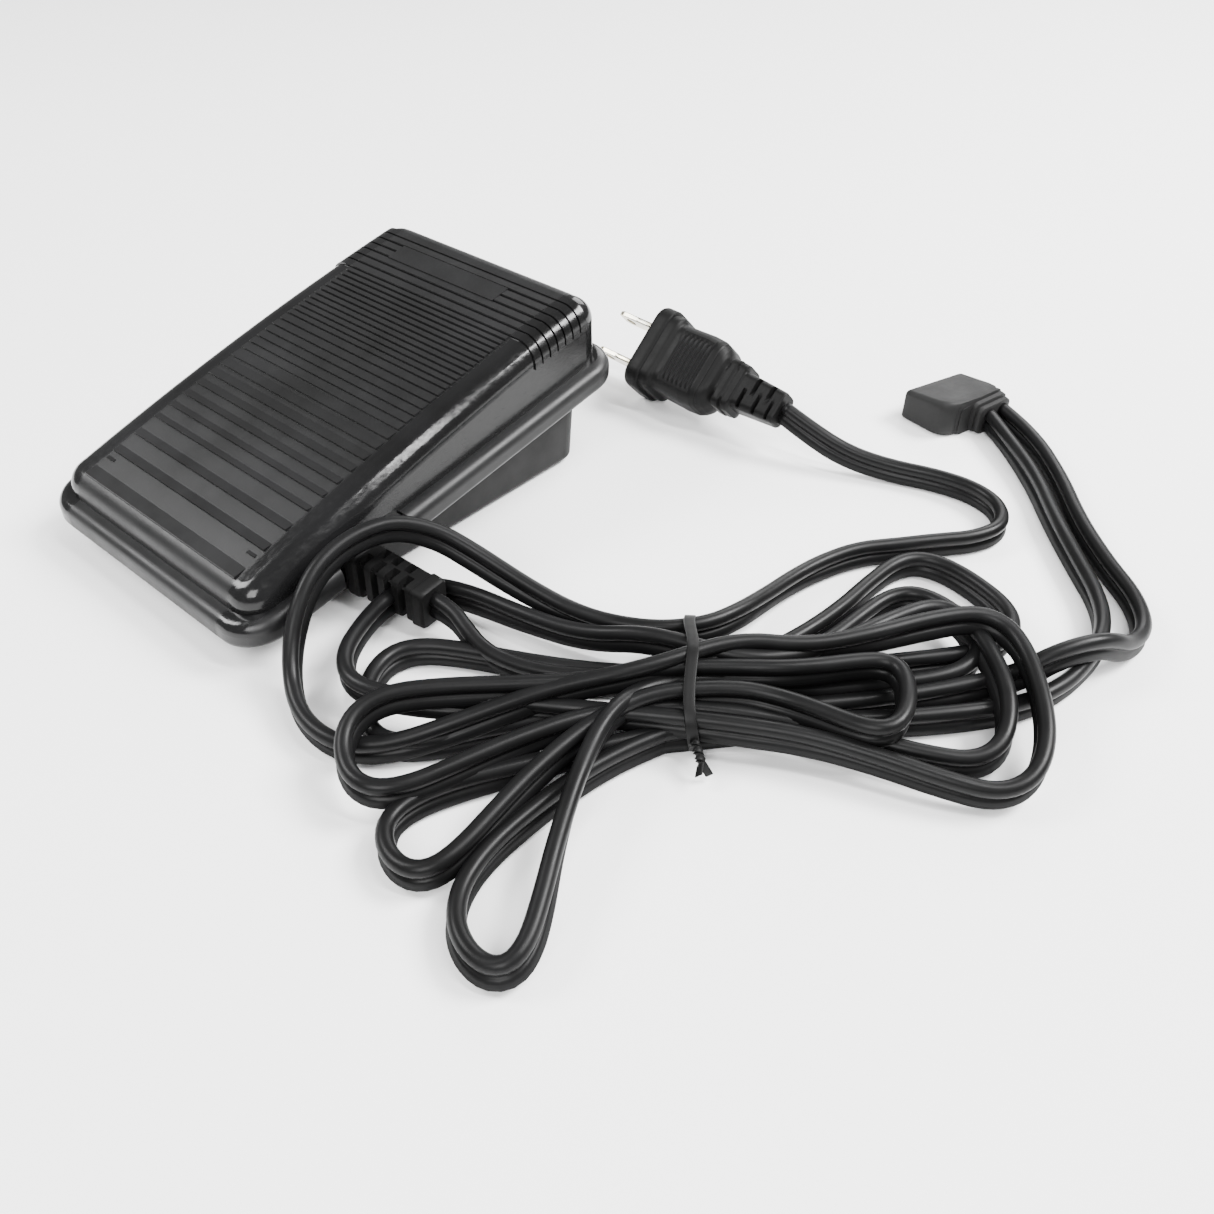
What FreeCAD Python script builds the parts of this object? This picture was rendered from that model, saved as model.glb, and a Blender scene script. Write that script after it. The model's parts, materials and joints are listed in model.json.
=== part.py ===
import FreeCAD, Part
import math
import os
import Sketcher
from FreeCAD import Placement, Rotation, Vector

# A sewing machine's speed pedal with its two flat cords.
# X runs across the pedal, Y from the low heel end to the high toe end, Z up.
# The origin is on the floor under the middle of the pedal. Sizes are in millimetres and degrees.

SIZES = {
    # the treadle cover, drawn level on the plane of its lip and then tilted
    "lip_slope": 9.65,
    "lip_rise": 16.8,
    "lip_width": 88.0,
    "lip_length": 129.0,
    "lip_corner": 10.5,
    "lip_height": 6.5,
    "wall_width": 81.6,
    "wall_length": 119.8,
    "wall_corner": 7.5,
    "wall_draft": 1.2,
    "shell": 2.0,
    "edge_round": 5.4,
    "rib_half": 31.6,
    "rib_step": 0.5,
    # the base tray that stands on the floor inside the lip
    "tray_width": 68.0,
    "tray_length": 109.5,
    "tray_corner": 5.0,
    "tray_draft": 3.4,
    "tray_bottom": 0.8,
    "tray_floor": 2.0,
    "tray_top": 20.8,
    # the hinge
    "hinge_y": -46.0,
    "hinge_z": 9.0,
    "rod_radius": 2.0,
    "rod_length": 64.0,
    # the wiper lever
    "lever_y": -14.0,
    "lever_z": 12.0,
    "lever_reach": 39.4,
    "lever_angle": 24.0,
    "pin_radius": 1.5,
    # springs and feet
    "spring_x": 22.0,
    "spring_y": 37.0,
    "spring_radius": 5.0,
    "foot_radius": 5.0,
    # the circuit board
    "board_x": 6.05,
    "board_thick": 1.6,
    "board_length": 46.0,
    "board_height": 21.0,
    # the cords and their ends
    "cord_width": 7.1,
    "cord_thick": 3.6,
    "boot_y": -25.3,
    "boot_root": 36.7,
    "blade_spacing": 12.7,
    "blade_width": 6.35,
    "blade_thick": 1.5,
    "blade_length": 17.0,
    "plug_face": 26.0,
    "plug_y": 99.0,
    "plug_z": 13.6,
    "plug_tilt": 43.7,
    "connector_long": 16.5,
    "connector_wide": 26.5,
    "hank_height": 14.0,
    "tie_wire": 2.2,
}

doc = FreeCAD.newDocument("speed_pedal")
sheet = doc.addObject("Spreadsheet::Sheet", "sizes")
for row, (alias, value) in enumerate(SIZES.items(), start=1):
    sheet.set("A%d" % row, alias)
    sheet.set("B%d" % row, str(value))
    sheet.setAlias("B%d" % row, alias)
doc.recompute()


def size(name):
    """The value of a sheet cell."""
    return float(sheet.get(name))


def bind(item, **links):
    """Tie an object's properties to expressions in the sheet's aliases."""
    for prop, text in links.items():
        item.setExpression(prop, text)
    return item


# ---------------------------------------------------------------- helpers


def plane(body, role):
    """One of a body's own origin planes."""
    return [part for part in body.Origin.OriginFeatures if part.Role == role][0]


def new_body(name):
    return doc.addObject("PartDesign::Body", name)


def new_sketch(body, name, role="XY_Plane", lift=None):
    """A sketch on one of the body's origin planes, lifted along the plane's normal."""
    sketch = body.newObject("Sketcher::SketchObject", name)
    sketch.AttachmentSupport = [(plane(body, role), "")]
    sketch.MapMode = "FlatFace"
    if lift is not None:
        sketch.setExpression("AttachmentOffset.Base.z", lift)
    return sketch


def rounded_rectangle(sketch, width, length, corner):
    """A rounded rectangle about the sketch's origin, its three sizes given as expressions."""
    half_w = 20.0
    half_l = 30.0
    radius = 2.0
    inner_w = half_w - radius
    inner_l = half_l - radius
    corners = [(inner_w, -inner_l, -90), (inner_w, inner_l, 0), (-inner_w, inner_l, 90),
               (-inner_w, -inner_l, 180)]
    arcs = []
    for x, y, start in corners:
        circle = Part.Circle(Vector(x, y, 0), Vector(0, 0, 1), radius)
        quarter = Part.ArcOfCircle(circle, math.radians(start), math.radians(start + 90))
        arcs.append(sketch.addGeometry(quarter))
    runs = [((half_w, -inner_l), (half_w, inner_l)), ((inner_w, half_l), (-inner_w, half_l)),
            ((-half_w, inner_l), (-half_w, -inner_l)), ((-inner_w, -half_l), (inner_w, -half_l))]
    lines = [sketch.addGeometry(Part.LineSegment(Vector(*a, 0), Vector(*b, 0))) for a, b in runs]
    Constraint = Sketcher.Constraint
    for k in range(4):
        sketch.addConstraint(Constraint("Tangent", arcs[k], 2, lines[k], 1))
        sketch.addConstraint(Constraint("Tangent", lines[k], 2, arcs[(k + 1) % 4], 1))
        sketch.addConstraint(Constraint("Vertical" if k % 2 == 0 else "Horizontal", lines[k]))
        if k:
            sketch.addConstraint(Constraint("Equal", arcs[0], arcs[k]))
    sketch.addConstraint(Constraint("Symmetric", arcs[0], 3, arcs[2], 3, -1, 1))
    names = (("wide", "DistanceX", lines[2], lines[0]), ("long", "DistanceY", lines[3], lines[1]))
    for name, kind, first, second in names:
        value = 2 * half_w if name == "wide" else 2 * half_l
        index = sketch.addConstraint(Constraint(kind, first, 1, second, 1, value))
        sketch.renameConstraint(index, name)
    index = sketch.addConstraint(Constraint("Radius", arcs[0], radius))
    sketch.renameConstraint(index, "corner")
    bind(sketch, **{"Constraints.wide": width, "Constraints.long": length, "Constraints.corner": corner})
    doc.recompute()
    return sketch


# ---------------------------------------------------------------- small builders


def put(item, **values):
    """Give each property a number, or an expression where the value is text."""
    for prop, value in values.items():
        path = prop.replace("__", ".")
        if isinstance(value, str):
            item.setExpression(path, value)
        elif path.startswith("Placement"):
            item.setExpression(path, "%.6f" % value)
        else:
            setattr(item, path, value)
    return item


def place(item, x, y, z):
    return put(item, Placement__Base__x=x, Placement__Base__y=y, Placement__Base__z=z)


def box(name, wide, long, high, x, y, z):
    """A box by its sizes and its lowest corner."""
    item = doc.addObject("Part::Box", name)
    put(item, Length=wide, Width=long, Height=high)
    return place(item, x, y, z)


def rod(name, radius, length, x, y, z, along="Z"):
    """A cylinder from its start point along one axis."""
    item = doc.addObject("Part::Cylinder", name)
    put(item, Radius=radius, Height=length)
    turn = {"Z": Rotation(), "X": Rotation(Vector(0, 1, 0), 90), "Y": Rotation(Vector(1, 0, 0), -90)}[along]
    item.Placement = Placement(Vector(), turn)
    return place(item, x, y, z)


def join(name, items):
    item = doc.addObject("Part::MultiFuse", name)
    item.Shapes = items
    return item


def remove(name, base, tools):
    item = doc.addObject("Part::Cut", name)
    item.Base = base
    item.Tool = tools[0] if len(tools) == 1 else join(name + "_tools", tools)
    return item


def soften(name, base, radius, chosen):
    """Round the edges that the function chosen accepts."""
    doc.recompute()
    item = doc.addObject("Part::Fillet", name)
    item.Base = base
    numbers = [k for k, edge in enumerate(base.Shape.Edges, start=1) if chosen(edge)]
    item.Edges = [(k, radius, radius) for k in numbers]
    return item


CUT_WIDTH = 400
FAR_OUT = 90.0
FAR_DOWN = -40.0


def wide_cut(body, name, points, arc=None):
    """Cut right across X along an outline drawn in Y and Z."""
    sketch = new_sketch(body, name + "_outline", "YZ_Plane")
    corners = [Vector(y, z, 0) for y, z in points]
    for start, end in zip(corners, corners[1:]):
        sketch.addGeometry(Part.LineSegment(start, end))
    if arc:
        sketch.addGeometry(Part.Arc(corners[-1], Vector(*arc, 0), corners[0]))
    else:
        sketch.addGeometry(Part.LineSegment(corners[-1], corners[0]))
    doc.recompute()
    before = body.Tip.Shape.Volume
    cut = body.newObject("PartDesign::Pocket", name)
    cut.Profile = sketch
    cut.Midplane = True
    cut.Length = CUT_WIDTH
    doc.recompute()
    if not cut.Shape.Volume < before:
        raise RuntimeError(name + " cut nothing")
    return cut


def slope_z(y, lift=0.0):
    """Height of the lip's bottom plane, or of a plane lift above it, at a place along the pedal."""
    return size("lip_rise") + lift + y * math.tan(math.radians(size("lip_slope")))


def keep_between(body, name, low, high):
    """Keep what lies between two planes parallel to the lip's bottom plane."""
    if high is not None:
        wide_cut(body, name + "_above", [(-FAR_OUT, slope_z(-FAR_OUT, high)), (-FAR_OUT, FAR_OUT),
                                         (FAR_OUT, FAR_OUT), (FAR_OUT, slope_z(FAR_OUT, high))])
    if low is not None:
        wide_cut(body, name + "_below", [(-FAR_OUT, slope_z(-FAR_OUT, low)), (FAR_OUT, slope_z(FAR_OUT, low)),
                                         (FAR_OUT, FAR_DOWN), (-FAR_OUT, FAR_DOWN)])


def block(name, width, length, corner, height, draft, lift="0"):
    """A rounded block standing on a level plane, its walls leaning out by the draft."""
    body = new_body(name)
    outline = rounded_rectangle(new_sketch(body, name + "_plan", lift=lift), width, length, corner)
    pad = body.newObject("PartDesign::Pad", name + "_block")
    pad.Profile = outline
    put(pad, Length=height, TaperAngle=draft)
    doc.recompute()
    return body


CREST = (36.9, 0.28, -0.00063, -0.0000016)
CREST_NEAR = 0.7


def crest_z(y, lower=0.0):
    """Height of the treadle's top along its middle, or of a surface a given depth below it."""
    return sum(factor * y ** power for power, factor in enumerate(CREST)) - lower


def round_edges(body, name, radius, chosen):
    """Round the edges of a body that the function chosen accepts."""
    feature = body.newObject("PartDesign::Fillet", name)
    base = body.Tip if body.Tip != feature else feature.BaseFeature
    edges = ["Edge%d" % k for k, edge in enumerate(base.Shape.Edges, start=1) if chosen(edge)]
    feature.Base = (base, edges)
    put(feature, Radius=radius)
    doc.recompute()
    return feature


def crest_edges(lower):
    """A test for the edges that bound the treadle's curved top, or the hollow's."""
    def chosen(edge):
        middle = edge.valueAt(0.5 * (edge.FirstParameter + edge.LastParameter))
        ends = [vertex.Point for vertex in edge.Vertexes] + [middle]
        return all(abs(point.z - crest_z(point.y, lower)) < CREST_NEAR for point in ends)
    return chosen


FORM_START = "-10"
FORM_HEIGHT = 70.0
CREST_END = 66.0


def cover_form(name, inset):
    """The treadle cover's solid outer form, or the hollow inside it, inset all round."""
    body = block(name, "sizes.wall_width - %g" % (2 * inset), "sizes.wall_length - %g" % (2 * inset),
                 "sizes.wall_corner - %g" % inset, FORM_HEIGHT, "-sizes.wall_draft", FORM_START)
    top = [(-CREST_END, crest_z(-CREST_END, inset)), (-CREST_END, FAR_OUT), (CREST_END, FAR_OUT),
           (CREST_END, crest_z(CREST_END, inset))]
    wide_cut(body, name + "_crest", top, (0.0, crest_z(0.0, inset)))
    round_edges(body, name + "_edge", "sizes.edge_round - %g" % inset, crest_edges(inset))
    return body


pieces = {}


def piece(name, item):
    """Name a finished sub-part; its label names its file."""
    item.Label = name
    pieces[name] = item
    return item


# ---------------------------------------------------------------- the treadle cover

BOOT_NOTCH = (-36.0, -14.5, 21.7)
FIRST_BAR = -56.3
BAR_GAPS = [8.6] + [6.45] * 2 + [4.7 - 0.2 * k for k in range(7)] + [2.65] * 6 + [1.92] * 12 + [2.87] * 6
BAR_DEPTH = 1.2
BAR_RISE = 0.1
BAR_ROOT = 0.2
BAR_FALL = 0.7
RAMP_PITCHES = (2.65, 4.7)
RAMP_LIFT = 0.5
RAMP_DROP = 1.0
RAMP_GAP = 0.38
LUG_COVER = 28.0
LUG_TRAY = 24.0
LUG_THICK = 3.0
LUG_RADIUS = 4.2
LUG_WIDE = 8.0
LUG_RISE = 13.0
LUG_START = "sizes.hinge_y - 4"
HOLE_PLAY = 0.06
STOP_POINTS = [(-28.0, 46.8), (28.0, 46.8)]
STOP_TOP = 32.6
HOOK_X = 12.0
PAD_Y = 22.0
BAR_GROOVE = 0.55
WRAPPED_BARS = 6
WRAPPED_PITCH = 2.87
WRAP_DEPTH = 6.4
EMBLEM = (-24.7, 16.8, 41.2, 47.4)
EMBLEM_THICK = 1.4
BOSS_RADIUS = 7.5
NOSE_RADIUS = 3.4
BOSS_LOW = 36.2
NOSE_LOW = 32.0
HOOK_WIDE = 5.0
HOOK_LOW = 16.5
STOP_RADIUS = 4.0
PAD_LOW = 31.4
LIP_TOP_ROUND = 2.9
LIP_FOOT_ROUND = 1.6


def bar_fronts():
    """Where each tread bar's front edge stands, closer together up the treadle."""
    fronts = [FIRST_BAR]
    for gap in BAR_GAPS:
        fronts.append(fronts[-1] + gap)
    return fronts


def wrapped_bars():
    """The last bars run over the rounded side edges: slices of a form slightly larger than the cover."""
    form = cover_form("bar_form", -size("rib_step"))
    slices = []
    for number, front in enumerate(bar_fronts()[-WRAPPED_BARS - 1:], start=1):
        low = crest_z(front) - WRAP_DEPTH
        slices.append(box("bar_slice_%d" % number, FAR_OUT, WRAPPED_PITCH - BAR_GROOVE, 3 * WRAP_DEPTH,
                          -0.5 * FAR_OUT, front, low))
    bands = doc.addObject("Part::MultiCommon", "wrapped_bands")
    bands.Shapes = [form, join("bar_slices", slices)]
    return bands


def ramp_share(pitch):
    """How far a tread bar is a ramp: 0 for the narrow flat bars up the treadle, 1 for the wide ones below."""
    narrow, wide = RAMP_PITCHES
    return min(1.0, max(0.0, (pitch - narrow) / (wide - narrow)))


def cover_ribs():
    """The raised tread bars: each rises at its front edge and falls away, the wide ones down to the cover."""
    fronts = bar_fronts()
    step = size("rib_step")
    profile = []
    for front, back in zip(fronts, fronts[1:]):
        ramp = ramp_share(back - front)
        rear = back - max(BAR_GROOVE, RAMP_GAP * ramp * (back - front))
        profile.append((front, crest_z(front) - BAR_ROOT))
        profile.append((front + BAR_RISE, crest_z(front) + step * (1 + RAMP_LIFT * ramp)))
        profile.append((rear, crest_z(rear) + step * (BAR_FALL - RAMP_DROP * ramp)))
        profile.append((rear + BAR_RISE, crest_z(rear) - BAR_ROOT))
    under = [(y, crest_z(y) - BAR_DEPTH) for y in (fronts[-1], 25.0, 0.0, -25.0, fronts[0])]
    body = new_body("tread_bars")
    sketch = new_sketch(body, "tread_outline", "YZ_Plane")
    corners = [Vector(y, z, 0) for y, z in profile + under]
    for start, end in zip(corners, corners[1:] + corners[:1]):
        sketch.addGeometry(Part.LineSegment(start, end))
    pad = body.newObject("PartDesign::Pad", "tread_pad")
    pad.Profile = sketch
    pad.Midplane = True
    put(pad, Length="2 * sizes.rib_half")
    doc.recompute()
    return body


def cover_lugs():
    """The two ears inside the heel end that turn on the hinge rod."""
    items = []
    for side in (-1, 1):
        low = LUG_COVER if side > 0 else -LUG_COVER - LUG_THICK
        tag = "_right" if side > 0 else "_left"
        items.append(box("cover_lug" + tag, LUG_THICK, LUG_WIDE, LUG_RISE, low, LUG_START, "sizes.hinge_z"))
        items.append(rod("cover_eye" + tag, LUG_RADIUS, LUG_THICK, low, "sizes.hinge_y", "sizes.hinge_z",
                         "X"))
    return items


def emblem_plate():
    """The blank plate set among the rear bars, level with their tops."""
    low_x, high_x, low_y, high_y = EMBLEM
    plate = doc.addObject("Part::Box", "emblem")
    put(plate, Length=high_x - low_x, Width=high_y - low_y, Height=EMBLEM_THICK)
    rise = math.degrees(math.atan2(crest_z(high_y) - crest_z(low_y), high_y - low_y))
    base = Vector(low_x, low_y, crest_z(low_y) - EMBLEM_THICK + size("rib_step"))
    plate.Placement = Placement(base, Rotation(Vector(1, 0, 0), rise))
    return plate


def treadle_cover():
    """The hinged cover: a curved hollow top over a lip that stands out all round, and its inner fittings."""
    outer = cover_form("cover_outside", 0.0)
    keep_between(outer, "cover_rim", 0.0, None)
    lip = block("cover_lip", "sizes.lip_width", "sizes.lip_length * cos(sizes.lip_slope)",
                "sizes.lip_corner", FORM_HEIGHT, 0.0)
    keep_between(lip, "lip_slice", 0.0, size("lip_height"))

    def lip_edge(edge, lift):
        return all(abs(p.z - slope_z(p.y, lift)) < 0.05 for p in
                   [vertex.Point for vertex in edge.Vertexes])

    round_edges(lip, "lip_top", LIP_TOP_ROUND, lambda edge: lip_edge(edge, size("lip_height")))
    round_edges(lip, "lip_foot", LIP_FOOT_ROUND, lambda edge: lip_edge(edge, 0.0))
    inside = cover_form("cover_inside", size("shell"))
    lip_inside = block("lip_inside", "sizes.lip_width - 2 * sizes.shell",
                       "sizes.lip_length * cos(sizes.lip_slope) - 2 * sizes.shell",
                       "sizes.lip_corner - sizes.shell", FORM_HEIGHT, 0.0, FORM_START)
    keep_between(lip_inside, "lip_space", None, size("lip_height") - size("shell"))
    solid = join("cover_solid", [outer, lip, cover_ribs(), wrapped_bars(), emblem_plate()])
    shell = remove("cover_shell", solid, [inside, lip_inside])
    inner_parts = cover_lugs()
    for side in (-1, 1):
        tag = "_right" if side > 0 else "_left"
        x = side * size("spring_x")
        inner_parts.append(rod("spring_boss" + tag, BOSS_RADIUS, 8.5, x, "sizes.spring_y", BOSS_LOW))
        inner_parts.append(rod("spring_nose" + tag, NOSE_RADIUS, 5.0, x, "sizes.spring_y", NOSE_LOW))
        hook = side * HOOK_X - 0.5 * HOOK_WIDE
        inner_parts.append(box("hook_leg" + tag, HOOK_WIDE, 1.8, 31.0, hook, 47.2, HOOK_LOW))
        inner_parts.append(box("hook_toe" + tag, HOOK_WIDE, 3.4, 3.5, hook, 48.5, HOOK_LOW))
    for number, (x, y) in enumerate(STOP_POINTS, start=1):
        inner_parts.append(rod("stop_boss_%d" % number, STOP_RADIUS, crest_z(y, BAR_DEPTH) - STOP_TOP, x, y,
                               STOP_TOP))
    pad_high = crest_z(PAD_Y, size("shell")) - PAD_LOW
    inner_parts.append(box("lever_pad", 8.0, 12.0, pad_high, -3.0, PAD_Y - 6.0, PAD_LOW))
    notch = box("boot_notch", 20.0, BOOT_NOTCH[1] - BOOT_NOTCH[0], BOOT_NOTCH[2], 32.0, BOOT_NOTCH[0], 0.0)
    notch_round = soften("boot_notch_round", notch, 3.0, lambda edge: edge.BoundBox.ZMin > 20 and
                         edge.BoundBox.XLength > 10)
    # the bore is only in the two lugs, so it stops short of the side walls
    bore = rod("cover_bore", size("rod_radius") + HOLE_PLAY, 70.0, -35.0, "sizes.hinge_y", "sizes.hinge_z",
               "X")
    full = join("cover_with_bosses", [shell] + inner_parts)
    return piece("pedal_cover", remove("cover_final", full, [notch_round, bore]))


# ---------------------------------------------------------------- the base tray


FEET = [(-26.0, -44.0), (26.0, -44.0), (-26.0, 44.0), (26.0, 44.0)]
CLAMP_SCREWS = [size("boot_y") - 8.0, size("boot_y") + 8.0]
CLAMP_X = 25.0
PILOT_RADIUS = 1.1
TRAY_HEIGHT = 45.0
FOOT_ROUND = 2.0


def base_tray():
    """The open tray under the cover: leaning walls cut to the cover's slope, with posts, seats and lugs."""
    outer = block("tray_outside", "sizes.tray_width", "sizes.tray_length", "sizes.tray_corner", TRAY_HEIGHT,
                  "sizes.tray_draft", "sizes.tray_bottom")
    lift = size("tray_top") - size("lip_rise")
    keep_between(outer, "tray_rim", None, lift)
    round_edges(outer, "tray_foot_round", FOOT_ROUND,
                lambda edge: edge.BoundBox.ZMax < size("tray_bottom") + 0.01)
    inner = block("tray_inside", "sizes.tray_width - 2 * sizes.shell", "sizes.tray_length - 2 * sizes.shell",
                  "sizes.tray_corner - sizes.shell + 0.1", TRAY_HEIGHT, "sizes.tray_draft",
                  "sizes.tray_bottom + sizes.tray_floor")
    shell = remove("tray_shell", outer, [inner])
    floor = "sizes.tray_bottom + 1"
    parts = []
    for side in (-1, 1):
        tag = "_right" if side > 0 else "_left"
        low = LUG_TRAY if side > 0 else -LUG_TRAY - LUG_THICK
        parts.append(box("tray_lug" + tag, LUG_THICK, LUG_WIDE, 7.2, low, LUG_START, floor))
        parts.append(rod("tray_eye" + tag, LUG_RADIUS, LUG_THICK, low, "sizes.hinge_y", "sizes.hinge_z", "X"))
        x = side * size("spring_x")
        parts.append(rod("spring_seat" + tag, BOSS_RADIUS, 6.2, x, "sizes.spring_y", floor))
        parts.append(rod("spring_peg" + tag, NOSE_RADIUS, 10.2, x, "sizes.spring_y", floor))
    for number, (x, y) in enumerate(STOP_POINTS, start=1):
        parts.append(rod("stop_post_%d" % number, STOP_RADIUS, 18.2, x, y, floor))
    parts.append(box("hook_ledge", 32.0, 4.2, 2.2, -16.0, 51.0, 20.4))
    for name, x in (("pivot_post_left", -5.6), ("pivot_post_right", 5.2)):
        parts.append(box(name, 2.8, 8.0, 14.0, x, "sizes.lever_y - 4", floor))
    for name, y in (("board_post_front", -9.0), ("board_post_rear", 34.6)):
        parts.append(box(name, 5.4, 3.6, 12.0, "sizes.board_x - 1.7", y, floor))
    parts.append(box("clamp_base", 7.0, 22.0, 3.6, 21.5, "sizes.boot_y - 11", floor))
    for row, y in enumerate((-20.0, 10.0, 38.0)):
        parts.append(box("floor_rib_%d" % row, 14.0, 1.4, 2.4, -31.0, y, floor))
    body = join("tray_full", [shell] + parts)
    cuts = [
        rod("tray_bore", size("rod_radius") + HOLE_PLAY, 62.0, -31.0, "sizes.hinge_y", "sizes.hinge_z", "X"),
        rod("pivot_bore", size("pin_radius") + HOLE_PLAY, 20.0, -10.0, "sizes.lever_y", "sizes.lever_z",
            "X"),
        box("board_slot", "sizes.board_thick + 0.1", "sizes.board_length + 0.1", 20.0,
            "sizes.board_x - 0.05", -8.05, 3.95),
        box("boot_slot", 8.0, 11.4, 40.0, 31.0, "sizes.boot_y - 6.5", 4.0),
    ]
    for number, (x, y) in enumerate(FEET, start=1):
        cuts.append(rod("foot_recess_%d" % number, "sizes.foot_radius", 0.7, x, y, "sizes.tray_bottom"))
    for number, y in enumerate(CLAMP_SCREWS, start=1):
        cuts.append(rod("clamp_pilot_%d" % number, PILOT_RADIUS, 6.0, CLAMP_X, y, 2.6))
    return piece("base_tray", remove("tray_final", body, cuts))


def rubber_feet():
    """The four feet under the tray and the two soft stops on its posts."""
    feet = [rod("foot_%d" % number, "sizes.foot_radius - 0.02", 1.5, x, y, 0.0)
            for number, (x, y) in enumerate(FEET, 1)]
    piece("rubber_feet", join("feet_group", feet))
    bumpers = [rod("bumper_%d" % number, 3.6, 3.0, x, y, 20.0)
               for number, (x, y) in enumerate(STOP_POINTS, 1)]
    piece("end_stop_bumpers", join("bumper_group", bumpers))


def hinge():
    """The rod through both pairs of lugs and the clip on each of its ends."""
    start = -0.5 * size("rod_length")
    piece("hinge_rod", rod("hinge_rod_bar", "sizes.rod_radius", "sizes.rod_length", start, "sizes.hinge_y",
                           "sizes.hinge_z", "X"))
    rings = []
    for name, x in (("left", -31.9), ("right", 31.3)):
        disc = rod("clip_disc_" + name, 3.5, 0.6, x, "sizes.hinge_y", "sizes.hinge_z", "X")
        hole = rod("clip_hole_" + name, "sizes.rod_radius", 1.0, x - 0.2, "sizes.hinge_y", "sizes.hinge_z",
                   "X")
        gap = box("clip_gap_" + name, 1.0, 2.6, 4.0, x - 0.2, "sizes.hinge_y - 1.3", "sizes.hinge_z")
        rings.append(remove("clip_" + name, disc, [hole, gap]))
    piece("hinge_clips", join("clip_group", rings))


SPRING_WIRE = 0.6
SPRING_LOW = 8.05
SPRING_HIGH = 36.0
SPRING_TURNS = 7.0
WIRE_SIDES = 8
WIRE_SWELL = 1.05


def return_spring(name, x):
    """A closed-end compression spring between its seat and the cover's boss."""
    rise = SPRING_HIGH - SPRING_LOW - 2 * SPRING_WIRE
    helix = doc.addObject("Part::Helix", name + "_line")
    put(helix, Radius="sizes.spring_radius", Pitch=rise / SPRING_TURNS, Height=rise)
    place(helix, 0, 0, 0)
    circle = doc.addObject("Part::RegularPolygon", name + "_wire")
    put(circle, Polygon=WIRE_SIDES, Circumradius=SPRING_WIRE * WIRE_SWELL)
    circle.Placement = Placement(Vector(size("spring_radius"), 0, 0), Rotation(Vector(1, 0, 0), 90))
    sweep = doc.addObject("Part::Sweep", name + "_coil")
    sweep.Sections = [circle]
    sweep.Spine = (helix, [])
    sweep.Solid = True
    sweep.Frenet = True
    place(sweep, x, "sizes.spring_y", SPRING_LOW + SPRING_WIRE)
    return piece(name, sweep)


# ---------------------------------------------------------------- the speed control


def wiper_lever():
    """An arm on its pin, with a round nose under the cover's pad and a brass leaf on its side."""
    reach = size("lever_reach")
    angle = size("lever_angle")
    arm = box("lever_arm", 3.4, reach, 4.4, 0.0, 0.0, -2.2)
    hub = rod("lever_hub", 4.0, 6.6, -2.4, 0.0, 0.0, "X")
    nose = rod("lever_nose", 3.0, 3.4, 0.0, reach, 0.0, "X")
    bore = rod("lever_bore", size("pin_radius") + HOLE_PLAY, 12.0, -5.0, 0.0, 0.0, "X")
    lever = remove("lever_solid", join("lever_full", [arm, hub, nose]), [bore])
    leaf = box("leaf_strip", 0.4, 13.0, 2.4, 3.4, 18.0, -1.2)
    bump = rod("leaf_bump", 1.3, 1.4, 3.6, 25.0, 0.0, "X")
    leaf_full = join("leaf_full", [leaf, bump])
    pivot = Vector(0.4, size("lever_y"), size("lever_z"))
    for item in (lever, leaf_full):
        item.Placement = Placement(pivot, Rotation(Vector(1, 0, 0), angle))
    piece("wiper_lever", lever)
    piece("wiper_leaf", leaf_full)
    piece("lever_pin", rod("lever_pin_bar", "sizes.pin_radius", 14.2, -6.2, "sizes.lever_y", "sizes.lever_z",
                           "X"))


CHOKE_X = 6.2
CHOKE_Z = 22.6
SINK_Y = 15.0
SINK_Z = 5.0
TRIAC_Y = 16.45
TRIAC_Z = 7.0
SCREW_Y = 21.45
SCREW_Z = 19.0
RESISTOR_Y = 27.6


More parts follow.
